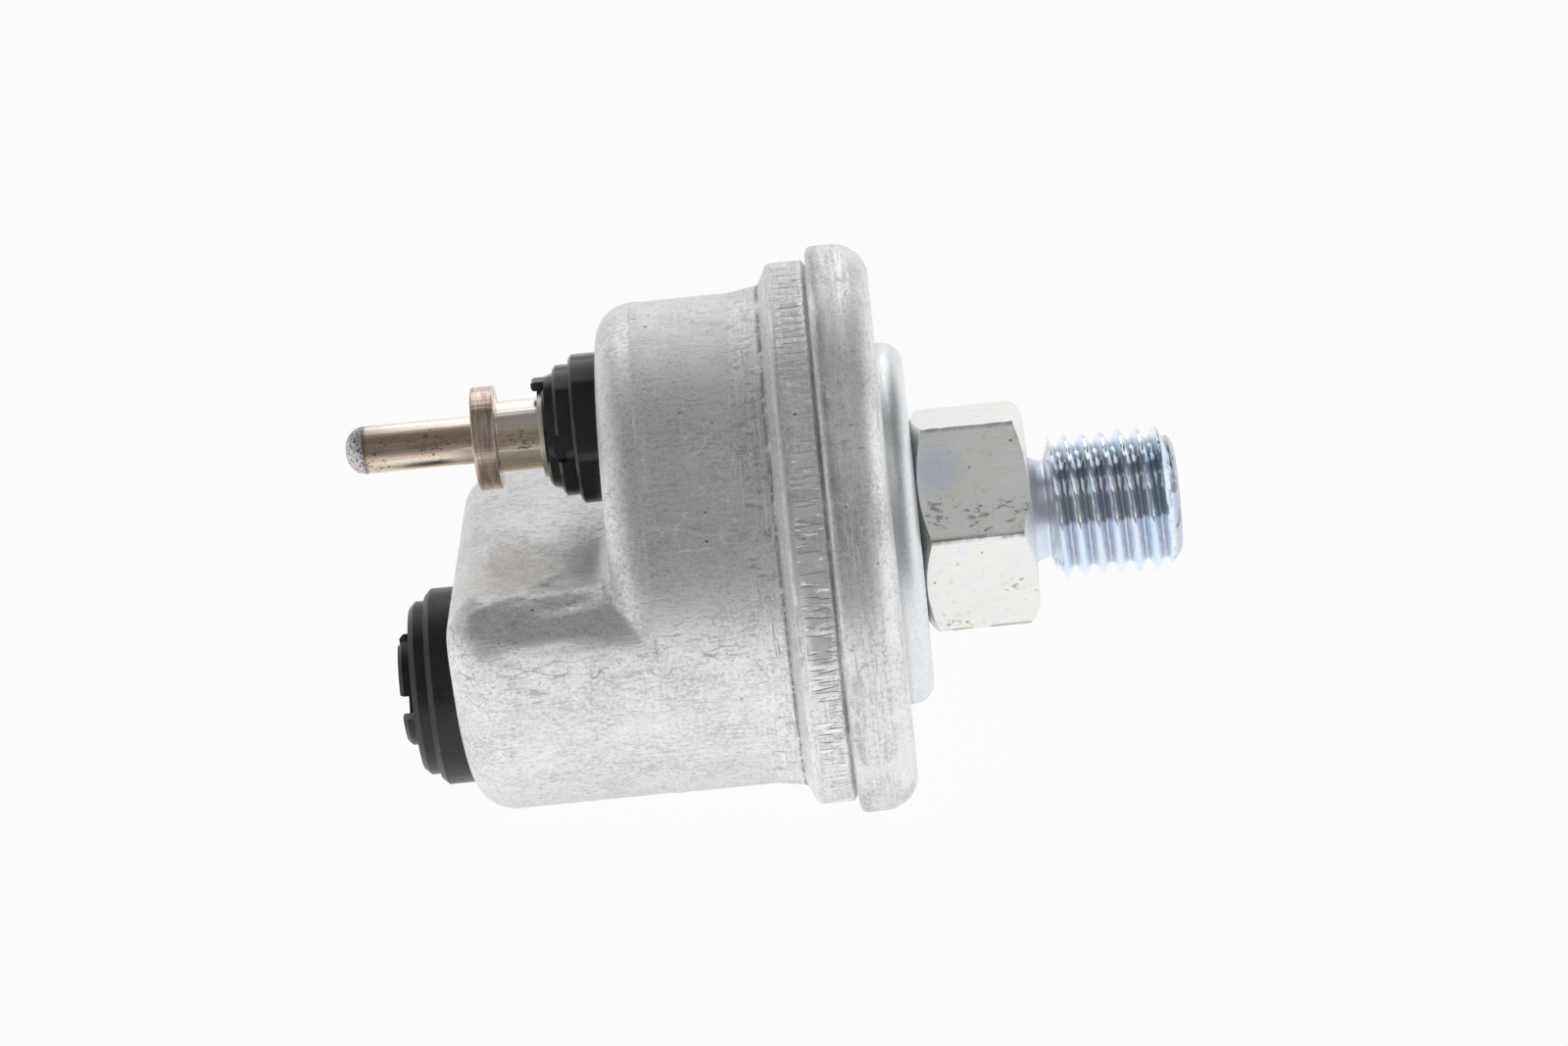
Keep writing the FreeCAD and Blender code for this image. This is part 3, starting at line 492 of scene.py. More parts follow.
def thread_radius(x, angle):
    """Distance from the axis to the right-hand thread."""
    turns = (x / THREAD_PITCH - angle / (2 * math.pi)) % 1.0
    rise = np.clip((np.abs(2 * turns - 1) - THREAD_FLAT) / (1 - 2 * THREAD_FLAT), 0, 1)
    soft = rise * rise * (3 - 2 * rise)
    radius = THREAD_R - THREAD_DEPTH * (1 - 0.5 * rise - 0.5 * soft)
    lead = THREAD_LEAD_R + (THREAD_END_X - x) * (THREAD_R - THREAD_LEAD_R) / THREAD_LEAD
    start = NECK_R + (x - THREAD_START_X + THREAD_RUNOUT) * (THREAD_R - NECK_R) / THREAD_RUNOUT
    return np.minimum(radius, np.minimum(lead, start))


def fitting_rings(settings):
    """Rings of points from the bore's mouth over the thread and hexagon and back."""
    around = settings.around
    angle = math.radians(90 - HEX_TURN - 30) + np.linspace(0, 2 * math.pi, around, endpoint=False)
    across, up = np.cos(angle), np.sin(angle)
    even = np.ones(around)
    rings = []

    def ring(x, radius):
        rings.append(np.stack([x * even, radius * across, radius * up], 1))

    ring(THREAD_END_X - BORE_MOUTH, BORE_R)
    ring(THREAD_END_X, BORE_R + BORE_MOUTH)
    ring(THREAD_END_X, THREAD_LEAD_R - 0.2)
    ring(THREAD_END_X - 0.04, THREAD_LEAD_R - 0.05)
    first, last = THREAD_END_X - 0.15, THREAD_START_X - THREAD_RUNOUT
    rows = int((first - last) / THREAD_PITCH * settings.rows_per_turn)
    for i in range(rows):
        x = first + (last - first) * i / rows
        ring(x, thread_radius(x, angle))
    ring(last, NECK_R)
    ring(NECK_TAPER + 0.1, NECK_R)
    ring(NECK_TAPER - 0.1, NECK_R + 0.045)
    ring(0, NECK_ROOT_R)
    ring(-RELIEF_DEPTH, NECK_ROOT_R)
    ring(-RELIEF_DEPTH, RELIEF_R)
    ring(0, RELIEF_R)
    ring(0, HEX_FACE_R - 0.08)
    edge = hex_radius(angle)
    slope = (edge - HEX_FACE_R) * CHAMFER_SLOPE
    ring(-0.03, HEX_FACE_R + 0.04)
    for share in (0.9, 1.0):
        ring(-slope * share - 0.02, HEX_FACE_R + (edge - HEX_FACE_R) * share)
    flats = 9
    for i in range(flats):
        share = 0.03 + 0.94 * i / (flats - 1)
        ring(-slope + (HEX_BACK_X + 2 * slope) * share, edge)
    for share in (1.0, 0.9):
        ring(HEX_BACK_X + slope * share + 0.02, HEX_FACE_R + (edge - HEX_FACE_R) * share)
    ring(HEX_BACK_X + 0.03, HEX_FACE_R + 0.04)
    ring(HEX_BACK_X, HEX_FACE_R - 0.08)
    ring(HEX_BACK_X, SPIGOT_R)
    stake_x = HEX_BACK_X - PLATE_THICK
    ring(stake_x, SPIGOT_R)
    ring(stake_x, STAKE_R)
    ring(stake_x - STAKE_THICK / 2, STAKE_R)
    ring(stake_x - STAKE_THICK, STAKE_R - STAKE_THICK / 2)
    ring(stake_x - STAKE_THICK, PASSAGE_R)
    ring(THREAD_END_X - BORE_DEPTH, PASSAGE_R)
    ring(THREAD_END_X - BORE_DEPTH, BORE_R)
    return rings


def pin_outline(tip_x, nose_x, head_x):
    """Outline of the terminal pin from its domed tip to its riveted head."""
    collar_x = tip_x + PIN_LENGTH
    back_x = collar_x + COLLAR_THICK
    corners = [
        (tip_x, 0, 0), (tip_x, PIN_R, PIN_TIP_ROUND), (collar_x, PIN_R, 0.12),
        (collar_x, COLLAR_R, COLLAR_ROUND), (back_x, COLLAR_R, COLLAR_ROUND),
        (back_x, SHANK_R, 0.12), (nose_x, SHANK_R, 0.1), (nose_x, STEM_R, 0),
        (head_x - HEAD_THICK, STEM_R, 0), (head_x - HEAD_THICK, HEAD_R, 0),
        (head_x, HEAD_R, HEAD_THICK / 2), (head_x, 0, 0),
    ]
    return rounded_outline(corners, PIN_STEP)


def pin_mesh(tip_wear):
    """Turned pin with its tip worn uneven, to a depth in millimetres."""
    low, high = (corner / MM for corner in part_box("terminal_pin"))
    nose_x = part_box("terminal_washer")[0].x / MM
    axis_z = (low.z + high.z) / 2
    outline = pin_outline(low.x, nose_x, high.x)
    points = turned_points(outline, PIN_AROUND, axis_z)
    on_tip = np.clip((low.x + PIN_TIP_WORN - points[:, 0]) / 0.5, 0, 1)
    inwards = np.array((low.x + PIN_TIP_ROUND, 0, axis_z)) - points
    inwards /= np.maximum(np.linalg.norm(inwards, axis=1), 1e-9)[:, None]
    wear = (0.5 + 0.5 * field_noise(points, 0.45, 5)) * on_tip * tip_wear
    mesh = new_mesh("pin", points + inwards * wear[:, None], turned_faces(len(outline) - 2, PIN_AROUND))
    shade_smooth(mesh, 40)
    return mesh


def arc_pairs(centre_x, centre_z, from_angle, to_angle, first, second):
    """Pairs of points on two arcs about one centre, seven along each."""
    turns = np.radians(np.linspace(from_angle, to_angle, 7))
    ways = np.stack([np.cos(turns), np.sin(turns)], axis=1)
    centre = np.array((centre_x, centre_z))
    return list(zip(centre + first * ways, centre + second * ways))


def leaf_mesh():
    """Closed mesh of the leaf spring, whose free leg has many short lengths."""
    low, high = (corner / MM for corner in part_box("return_spring"))
    wide = LEAF_BEND + LEAF_THICK
    pairs = [(np.array((high.x, high.z)), np.array((high.x - LEAF_THICK, high.z)))]
    pairs += arc_pairs(high.x - wide, LEAF_LEVEL_Z + wide, 0, -90, wide, LEAF_BEND)
    pairs += arc_pairs(low.x + wide, LEAF_LEVEL_Z - LEAF_BEND, 90, 180, LEAF_BEND, wide)
    for z in np.linspace(LEAF_LEVEL_Z - LEAF_BEND, low.z, 13)[1:]:
        pairs.append((np.array((low.x + LEAF_THICK, z)), np.array((low.x, z))))
    points = []
    for inner, outer in pairs:
        for (x, z), y in ((inner, low.y), (inner, high.y), (outer, high.y), (outer, low.y)):
            points.append((x, y, z))
    last = len(points) - 4
    faces = [(0, 1, 2, 3), (last + 3, last + 2, last + 1, last)]
    for start in range(0, last, 4):
        faces.extend(ring_faces(start, start + 4, 4))
    mesh = new_mesh("leaf", points, faces)
    shade_smooth(mesh, 30)
    return mesh


class Value:
    """Output of a shader node, so that sums of it can be written out."""

    def __init__(self, socket):
        self.socket = socket
        self.tree = socket.id_data

    def __add__(self, other):
        return maths(self.tree, "ADD", self, other)

    def __sub__(self, other):
        return maths(self.tree, "SUBTRACT", self, other)

    def __rsub__(self, other):
        return maths(self.tree, "SUBTRACT", other, self)

    def __mul__(self, other):
        return maths(self.tree, "MULTIPLY", self, other)

    def between(self, low, high):
        """The value carried from low to high onto 0 to 1."""
        inputs = {"Value": self, "From Min": low, "From Max": high}
        return Value(new_node(self.tree, "ShaderNodeMapRange", inputs).outputs["Result"])

    def window(self, low, high, soft):
        """1 where the value lies between two limits and 0 outside, with soft edges."""
        return self.between(low - soft, low + soft) * self.between(high + soft, high - soft)


def put(socket, value):
    """Links a socket to a value, or sets it."""
    if isinstance(value, Value):
        value.tree.links.new(value.socket, socket)
    else:
        socket.default_value = value


def new_node(tree, kind, inputs, **options):
    """A new shader node with its options, and with named or numbered inputs set or linked."""
    made = tree.nodes.new(kind)
    for option, value in options.items():
        setattr(made, option, value)
    for name, value in inputs.items():
        put(made.inputs[name], value)
    return made


def maths(tree, operation, first, second=0.0):
    """One sum of two values."""
    made = new_node(tree, "ShaderNodeMath", {0: first, 1: second}, operation=operation)
    return Value(made.outputs["Value"])


def largest(first, *others):
    """The largest of some values."""
    for other in others:
        first = maths(first.tree, "MAXIMUM", first, other)
    return first


def object_space(tree, stretch=(1, 1, 1)):
    """Places in the object in millimetres, stretched along the axes."""
    place = Value(tree.nodes.new("ShaderNodeTexCoord").outputs["Object"])
    made = new_node(tree, "ShaderNodeMapping", {"Vector": place, "Scale": [s / MM for s in stretch]})
    return Value(made.outputs["Vector"])


def axis_parts(place):
    """X, Y and Z of a place."""
    made = new_node(place.tree, "ShaderNodeSeparateXYZ", {"Vector": place})
    return [Value(made.outputs[axis]) for axis in "XYZ"]


def from_axis(y, z):
    """Distance from a line along X."""
    return maths(y.tree, "SQRT", y * y + z * z)


def noise_at(place, scale, detail, roughness):
    """Noise at places."""
    inputs = {"Vector": place, "Scale": scale, "Detail": detail, "Roughness": roughness}
    return Value(new_node(place.tree, "ShaderNodeTexNoise", inputs).outputs["Fac"])


def grain(tree, scale, stretch=(1, 1, 1), detail=3.0, roughness=0.5):
    """Noise over the object."""
    return noise_at(object_space(tree, stretch), scale, detail, roughness)


def turned_grain(tree, fine, slow, detail, axis_z=0.0):
    """Noise drawn out round a line along X, on turned walls as on their ends."""
    x, y, z = axis_parts(object_space(tree))
    z = z - axis_z
    parts = {"X": (x + from_axis(y, z)) * fine, "Y": y * slow, "Z": z * slow}
    place = Value(new_node(tree, "ShaderNodeCombineXYZ", parts).outputs["Vector"])
    return noise_at(place, 1.0, detail, 0.65)


def cells(tree, scale, stretch=(1, 1, 1)):
    """Distance to scattered points over the object."""
    inputs = {"Vector": object_space(tree, stretch), "Scale": scale}
    return Value(new_node(tree, "ShaderNodeTexVoronoi", inputs).outputs["Distance"])


def hairlines(tree, scale, stretch, width, shown_from):
    """Thin wandering scratches, some of them broken off."""
    away = maths(tree, "ABSOLUTE", grain(tree, scale, stretch, 0) - 0.5)
    shown = grain(tree, 0.6).between(shown_from, shown_from + 0.05)
    return away.between(width, width * 0.3) * shown


def patch(tree, centre, reach):
    """1 at a place in millimetres, fading to 0 at a reach from it."""
    gap = new_node(tree, "ShaderNodeVectorMath", {0: object_space(tree), 1: centre}, operation="DISTANCE")
    return Value(gap.outputs["Value"]).between(reach, reach * 0.2)


def smudges(tree, places, scale, stretch):
    """Specks that thin out around some places."""
    near = largest(*(patch(tree, *place) for place in places))
    specks = grain(tree, scale, stretch, 5, 0.7) - (0.64 - near * 0.12)
    return specks.between(0.0, 0.05) * maths(tree, "GREATER_THAN", near, 0.0)


def blended(share, first, second):
    """Two colours mixed by a share."""
    first, second = (part if isinstance(part, Value) else (*part, 1.0) for part in (first, second))
    made = new_node(share.tree, "ShaderNodeMix", {0: share, 6: first, 7: second}, data_type="RGBA")
    return Value(made.outputs[2])


def ramped(value, stops):
    """Colours along a value, from (place, colour) stops."""
    made = new_node(value.tree, "ShaderNodeValToRGB", {"Fac": value})
    ramp = made.color_ramp
    while len(ramp.elements) < len(stops):
        ramp.elements.new(0.5)
    for element, (place, colour) in zip(ramp.elements, stops):
        element.position = place
        element.color = (*colour, 1.0)
    return Value(made.outputs["Color"])


def shade(colour, share):
    """A colour made darker or paler by a share, up to white."""
    return [min(1.0, part * share) for part in colour]


def new_finish(name):
    """A new material with its node tree."""
    finish = bpy.data.materials.new(name)
    finish.use_nodes = True
    return finish, finish.node_tree


def coated(finish, base, metallic, rough, height, depth):
    """The finish with its colour, metal and roughness, and a relief that is so many millimetres deep."""
    bump = new_node(finish.node_tree, "ShaderNodeBump", {"Distance": depth * MM, "Height": height})
    shader = finish.node_tree.nodes["Principled BSDF"].inputs
    put(shader["Base Color"], base)
    put(shader["Metallic"], metallic)
    put(shader["Roughness"], rough)
    put(shader["Normal"], Value(bump.outputs["Normal"]))
    return finish


def drawn_aluminium(colour):
    """Dull drawn aluminium: axial scratches, specks and pits, turned streaks on the rim, and painted glints
    on its marks.
    """
    finish, tree = new_finish("drawn_aluminium")
    x, _, z = axis_parts(object_space(tree))
    rim = x.between(-22.9, -22.3)
    axial = grain(tree, 1.0, (0.8, 5.0, 5.0), 4, 0.65).between(0.32, 0.68)
    turned = turned_grain(tree, 4.6, 0.2, 4).between(0.34, 0.66)
    lines = axial * (1.0 - rim) + turned * rim
    specks = grain(tree, 3.4, (0.9, 1, 1), 4, 0.7).between(0.34, 0.66)
    cloud = grain(tree, 0.18, (1, 1, 1), 4, 0.6).between(0.35, 0.65)
    tone = lines * 0.34 + specks * 0.46 + cloud * 0.2
    base = ramped(tone, [(0.22, shade(colour, 0.76)), (0.5, colour), (0.78, shade(colour, 1.12))])

    seam = x.window(*DARK_SEAM, 0.12) * grain(tree, 1.0, (0.8, 0.5, 0.5), 4, 0.7).between(0.36, 0.50)
    pits = cells(tree, 0.42, (1, 1.3, 1.3)).between(0.09, 0.04)
    pits = pits * grain(tree, 0.35, (1, 1, 1), 2).between(0.50, 0.60)
    # A darker band on the bead's side towards the can.
    bead_side = x.window(*BEAD_SIDE, 0.35) * grain(tree, 1.0, (0.6, 0.25, 0.25), 3).between(0.35, 0.6)
    worn_foot = x.window(*WORN_FOOT, 0.5) * grain(tree, 1.4, (0.4, 1, 1), 4, 0.7).between(0.54, 0.64)
    dark_marks = largest(
        seam * 0.75, pits * 0.8, smudges(tree, CAN_SMUDGES, 2.0, (0.4, 1.1, 1.1)) * 0.26,
        bead_side * 0.38, worn_foot * 0.35, hairlines(tree, 1.0, (0.22, 1.1, 1.1), 0.006, 0.52) * 0.4,
    )
    base = blended(dark_marks, base, (0.10, 0.10, 0.10))

    # Painted highlights: press marks, scratches, worn edges, the turned part and sparks are whitened as
    # glints, and lose their metal on the upper can so that they stay bright there.
    press = x.window(*PRESSED_BAND, 0.3) * grain(tree, 1.0, (0.3, 1.7, 1.7), 1).between(0.48, 0.56)
    scratches = largest(hairlines(tree, 1.0, (0.30, 1.0, 1.0), 0.018, 0.47),
                        hairlines(tree, 0.6, (1, 0.6, 1), 0.012, 0.49))
    glint = x.window(*TURNED_PART, 0.3) * turned_grain(tree, 4.5, 0.3, 2).between(0.60, 0.65)
    edges = x.window(*WORN_EDGE_GLINT, 0.06) + x.window(*WORN_SHELF_LINE_GLINT, 0.1)
    edges = edges * grain(tree, 1.0, (0.4, 0.7, 0.7), 4, 0.7).between(0.42, 0.56)
    sparks = grain(tree, 2.6, (1, 1, 1), 3, 0.7).between(0.62, 0.67)
    painted_glints = largest(press, scratches, glint, edges, sparks)
    base = blended(painted_glints * 0.9, base, (1.0, 1.0, 1.0))

    glint_matt_share = z.between(-9.0, -3.0) * 0.9
    rough = 0.60 - tone * 0.22 - press * 0.2
    height = lines * 0.5 + specks * 0.5 - dark_marks * 1.5 + largest(scratches, edges) * 0.2 + press * 14.0
    return coated(finish, base, 1.0 - painted_glints * glint_matt_share, rough, height, 0.012)


def zinc_plate(colour):
    """Blue-white zinc on pressed steel, with faint turned lines and a dull grain."""
    finish, tree = new_finish("zinc_plate")
    lines = turned_grain(tree, 6.0, 0.3, 3)
    specks = grain(tree, 3.0, (1, 1, 1), 4, 0.7).between(0.34, 0.66)
    tint = ramped(grain(tree, 0.3), [
        (0.35, shade(colour, 0.93)), (0.5, colour), (0.62, (0.96, 0.96, 0.95))])
    tint = blended(specks, shade(colour, 0.86), tint)
    return coated(finish, tint, 1.0, lines * 0.2 + 0.28, lines + specks, 0.008)


# Where dirt sits on the hexagon: middle and reach
HEX_SMUDGES = [
    ((-7.8, -8.4, 2.9), 2.2), ((-4.5, -8.5, 2.6), 2.0), ((-1.2, -8.4, 2.8), 2.0), ((-2.0, -7.8, -3.4), 1.5),
    ((-7.6, -6.3, -6.9), 1.6),
]


def plated_fitting(colour, thread_colour):
    """Plain zinc on the hexagon that turns to a bluish, iridescent one on the stud, with painted shade in
    the thread's roots.
    """
    finish, tree = new_finish("plated_fitting")
    x, y, z = axis_parts(object_space(tree))
    radius = from_axis(y, z)
    on_stud = x.between(-0.2, 0.5)
    off_stud = 1.0 - on_stud
    neck = x.window(0.0, 1.3, 0.15)
    film = ramped(grain(tree, 0.35, (1.0, 0.5, 0.5), 2), [
        (0.32, (0.74, 0.86, 1.0)), (0.45, thread_colour), (0.54, (0.86, 0.88, 1.0)),
        (0.66, (0.90, 0.98, 1.0))])
    # Painted shade: the thread's roots are darkened towards a deep blue.
    root = radius.between(5.45, 5.08) * x.between(1.9, 2.1)
    film = blended(root * 0.42, film, (0.17, 0.21, 0.32))
    film = blended(neck, film, (0.84, 0.89, 1.0))

    cloud = grain(tree, 0.5, (1, 1, 1), 4, 0.6)
    brushed = grain(tree, 1.0, (0.4, 4.5, 4.5), 4, 0.65).between(0.34, 0.66)
    plain = ramped(cloud, [(0.3, (0.90, 0.93, 0.99)), (0.45, colour), (0.6, (1.0, 0.99, 0.94))])
    plain = blended(brushed * 0.5, plain, shade(colour, 0.9))
    plain = blended(patch(tree, (-7.6, -6.0, 6.2), 2.8) * 0.5, plain, (0.66, 0.78, 1.0))
    stained = patch(tree, (-4.5, -6.6, -6.2), 3.4) * cloud.between(0.45, 0.6)
    plain = blended(stained * 0.5, plain, (0.90, 0.88, 0.66))
    base = blended(on_stud, plain, film)

    specks = cells(tree, 0.9).between(0.15, 0.07) * grain(tree, 0.5).between(0.5, 0.6)
    stain = grain(tree, 1.2, (1, 1, 1), 5, 0.65).between(0.61, 0.65)
    edges = radius.between(9.63, 9.71) * cloud.between(0.40, 0.52)
    marks = largest(specks, stain * 0.2, edges * 0.8,
                    smudges(tree, HEX_SMUDGES, 2.2, (0.6, 1.2, 1.2)) * 0.8)
    stud_end = x.window(11.3, 12.0, 0.2) * grain(tree, 0.8, (1, 1, 1), 5, 0.7).between(0.50, 0.58)
    marks = largest(marks * off_stud, stud_end)
    base = blended(marks * 0.7, base, (0.13, 0.12, 0.11))
    rough = cloud * 0.12 + off_stud * 0.22 + neck * 0.25 + 0.08
    return coated(finish, base, 1.0, rough, brushed * off_stud + cloud - marks, 0.01)


# Where dirt sits on the pin: middle and reach
PIN_SMUDGES = [((-48.3, -1.95, 11.3), 2.4), ((-53.0, -1.6, 9.9), 2.2), ((-41.0, -2.9, 11.4), 1.8)]


def turned_brass(colour, tarnish):
    """Tarnished brass streaked along its length, with a rough grey tip in a dark ring; painted light: a
    dark reflection band with a pale highlight under it on the -Y side, and a pale top.
    """
    finish, tree = new_finish("turned_brass")
    x, y, z = axis_parts(object_space(tree))
    low, high = (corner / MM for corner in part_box("terminal_pin"))
    tip_x, axis_z = low.x, (low.z + high.z) / 2
    height = z - axis_z
    near_side = y.between(-0.5, -1.0)
    bands = grain(tree, 1.0, (0.05, 0.9, 0.9), 4, 0.6).between(0.32, 0.68)
    streaks = grain(tree, 1.0, (0.10, 5.0, 5.0), 3).between(0.34, 0.66)
    base = ramped(bands, [
        (0.1, tarnish), (0.35, (0.80, 0.66, 0.52)), (0.55, colour), (0.9, (1.0, 0.96, 0.80))])
    base = blended(streaks * 0.45, base, (0.58, 0.43, 0.33))
    # Painted reflection: a dark band along the middle of the pin's -Y side, broken by noise.
    painted_front_reflection = height.window(-0.2, 0.75, 0.25) * near_side
    painted_front_reflection = painted_front_reflection * grain(tree, 1.0, (0.3, 1.5, 1.5), 4, 0.7).between(0.30, 0.55)
    base = blended(painted_front_reflection * 0.6, base, (0.30, 0.22, 0.17))
    # Painted highlight: a pale band under the dark one, on the same side.
    painted_lower_highlight = height.window(-1.1, -0.5, 0.2) * near_side
    base = blended(painted_lower_highlight * 0.7, base, (1.0, 0.97, 0.82))
    # Painted highlight: the top of the pin is paled.
    base = blended(height.between(1.2, 1.9), base, (1.0, 0.93, 0.84))
    near_tip = x.between(tip_x + 5.0, tip_x + 1.5)
    near_tip = near_tip * grain(tree, 1.0, (0.5, 1.2, 1.2), 4, 0.7).between(0.35, 0.65)
    base = blended(near_tip * 0.6, base, tarnish)

    collar = ramped(turned_grain(tree, 4.0, 0.4, 4, axis_z), [
        (0.35, (0.50, 0.38, 0.33)), (0.5, (0.68, 0.56, 0.48)), (0.65, (0.86, 0.76, 0.66))])
    base = blended(from_axis(y, height).between(3.2, 3.5), base, collar)
    dark_marks = smudges(tree, PIN_SMUDGES, 2.6, (0.6, 1, 1))
    base = blended(dark_marks * 0.75, base, (0.08, 0.06, 0.05))
    tip = x.between(tip_x + 1.75, tip_x + 1.45)
    worn = ramped(grain(tree, 4.2, (1, 1, 1), 4, 0.75), [
        (0.40, (0.10, 0.09, 0.10)), (0.50, (0.80, 0.75, 0.79))])
    base = blended(tip, base, worn)
    ring = x.window(tip_x + 1.5, tip_x + 1.75, 0.1)
    base = blended(ring * 0.7, base, (0.12, 0.10, 0.09))
    rough = tip * 0.25 + streaks * 0.16 + 0.18
    rise = streaks * 0.25 + tip * grain(tree, 3.2, (1, 1, 1), 4)
    return coated(finish, base, 1.0, rough, rise, 0.03)


def moulded_resin(name, colour, roughness):
    """Black moulded resin with a faint skin and dust."""
    finish, tree = new_finish(name)
    base = ramped(grain(tree, 0.8), [(0.3, shade(colour, 0.7)), (0.7, shade(colour, 1.3))])
    dust = grain(tree, 5.0, (1, 1, 1), 5, 0.75).between(0.66, 0.76)
    base = blended(dust * 0.3, base, (0.25, 0.25, 0.25))
    rough = grain(tree, 1.5, (1, 1, 1), 4) * 0.2 + roughness
    return coated(finish, base, 0.0, rough, grain(tree, 6.0), 0.008)


def inner_metal(name, colour, roughness, stretch):
    """Plain sheet or turned metal of the inner pieces, with its rolling or turning lines."""
    finish, tree = new_finish(name)
    lines = grain(tree, 1.0, stretch, 4, 0.6)
    base = ramped(lines, [(0.3, shade(colour, 0.75)), (0.7, shade(colour, 1.12))])
    return coated(finish, base, 1.0, lines * 0.25 + roughness, lines, 0.015)


def inner_board(name, colour, roughness, scale):
    """Board, rubber or sleeve of the inner pieces, with its fine grain."""
    finish, tree = new_finish(name)
    specks = grain(tree, scale, (1, 1, 1), 5, 0.65)
    base = ramped(specks, [(0.3, shade(colour, 0.6)), (0.7, shade(colour, 1.25))])
    return coated(finish, base, 0.0, specks * 0.25 + roughness, specks, 0.02)


def dress(finish, *node_names):
    """Gives carried-over solids their finish."""
    for name in node_names:
        materials = frame["nodes"][name].data.materials
        materials.clear()
        materials.append(finish)


def stand_in_for(piece, node_name, finish):
    """Puts a finished piece in the place of a solid, on the same body."""
    piece.data.materials.append(finish)
    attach(piece, frame["nodes"][node_name]["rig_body"])
    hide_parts(node_name)


class SenderCanSettings(bpy.types.PropertyGroup):
    """Sizes and colour of the can's skin."""

    grid: FloatProperty(
        name="Grid", description="Spacing of the stepped end's mesh", default=0.00042, unit="LENGTH")
    around: IntProperty(name="Around", description="Points round the turned rim", default=480)
    waves: FloatProperty(
        name="Waves", description="Height of the uneven walls", default=0.000022, unit="LENGTH")
    creases: FloatProperty(
        name="Creases", description="Share of the folds' height", default=1.0, subtype="FACTOR")
    colour: FloatVectorProperty(
        name="Aluminium", description="Colour of the drawn aluminium",
        default=(0.89, 0.89, 0.89), subtype="COLOR")


class SenderFittingSettings(bpy.types.PropertyGroup):
    """Mesh and colours of the fitting and the base plate."""

    around: IntProperty(name="Around", description="Points round the fitting", default=480)
    rows_per_turn: IntProperty(name="Rows", description="Rings to each turn of the thread", default=16)
    zinc: FloatVectorProperty(
        name="Zinc", description="Colour of the plain zinc", default=(0.98, 0.98, 0.97), subtype="COLOR")
    blue_zinc: FloatVectorProperty(
        name="Blue zinc", description="Colour of the plate's blue-white zinc",
        default=(0.93, 0.97, 0.99), subtype="COLOR")
    film: FloatVectorProperty(
        name="Thread film", description="Colour of the iridescent film on the stud",
        default=(0.82, 0.91, 1.0), subtype="COLOR")


class SenderTerminalSettings(bpy.types.PropertyGroup):
    """Sizes and colours of the terminal and the plug."""

    tip_wear: FloatProperty(
        name="Tip wear", description="Depth of the wear on the pin's tip", default=0.00006, unit="LENGTH")
    brass: FloatVectorProperty(
        name="Brass", description="Colour of the clean brass", default=(0.96, 0.84, 0.66), subtype="COLOR")
    tarnish: FloatVectorProperty(
        name="Tarnish", description="Colour of the tarnished brass",
        default=(0.52, 0.40, 0.30), subtype="COLOR")
    resin: FloatVectorProperty(
        name="Resin", description="Colour of the bush and the plug",
        default=(0.018, 0.018, 0.019), subtype="COLOR")


class SenderStageSettings(bpy.types.PropertyGroup):
    """Camera and light."""

    elevation: FloatProperty(
        name="Elevation", description="Camera's angle above the sender's frame",
        default=math.radians(18.0), subtype="ANGLE")
    yaw: FloatProperty(
        name="Yaw", description="Camera's turn towards the pin",
        default=math.radians(1.19), subtype="ANGLE")
    roll: FloatProperty(
        name="Roll", description="Turn of the sender in the picture",
        default=math.radians(6.15), subtype="ANGLE")
    distance: FloatProperty(
        name="Distance", description="From the camera to the hexagon's end", default=0.43, unit="LENGTH")
    front_light: FloatProperty(name="Front light", description="Brightness in front", default=0.29)
    lamp_light: FloatProperty(
        name="Lamp light", description="Share of the soft lamps' brightness", default=1.0)
    white: FloatProperty(name="White", description="Brightness of the floor and backdrop", default=1.0)


class SENDER_OT_can(bpy.types.Operator):
    """Build the can's skin with its folds, scratches and pits"""

    bl_idname = "sender.can"
    bl_label = "Can"

    def execute(self, context):
        settings = context.scene.sender_can
        piece = link_piece("can", can_mesh(settings))
        stand_in_for(piece, "housing", drawn_aluminium(settings.colour))
        return {"FINISHED"}


class SENDER_OT_fitting(bpy.types.Operator):
    """Build the fitting with its thread, and finish the base plate and the restrictor"""

    bl_idname = "sender.fitting"
    bl_label = "Fitting"

    def execute(self, context):
        settings = context.scene.sender_fitting
        mesh = loop_mesh("fitting", fitting_rings(settings), settings.around)
        shade_smooth(mesh, 28)
        piece = link_piece("fitting", mesh)
        stand_in_for(piece, "threaded_fitting",
                     plated_fitting(settings.zinc, settings.film))
        dress(zinc_plate(settings.blue_zinc), "base_plate")
        dress(inner_metal("restrictor_brass", (0.70, 0.58, 0.34), 0.3, (6, 0.5, 0.5)), "inlet_restrictor")
        return {"FINISHED"}


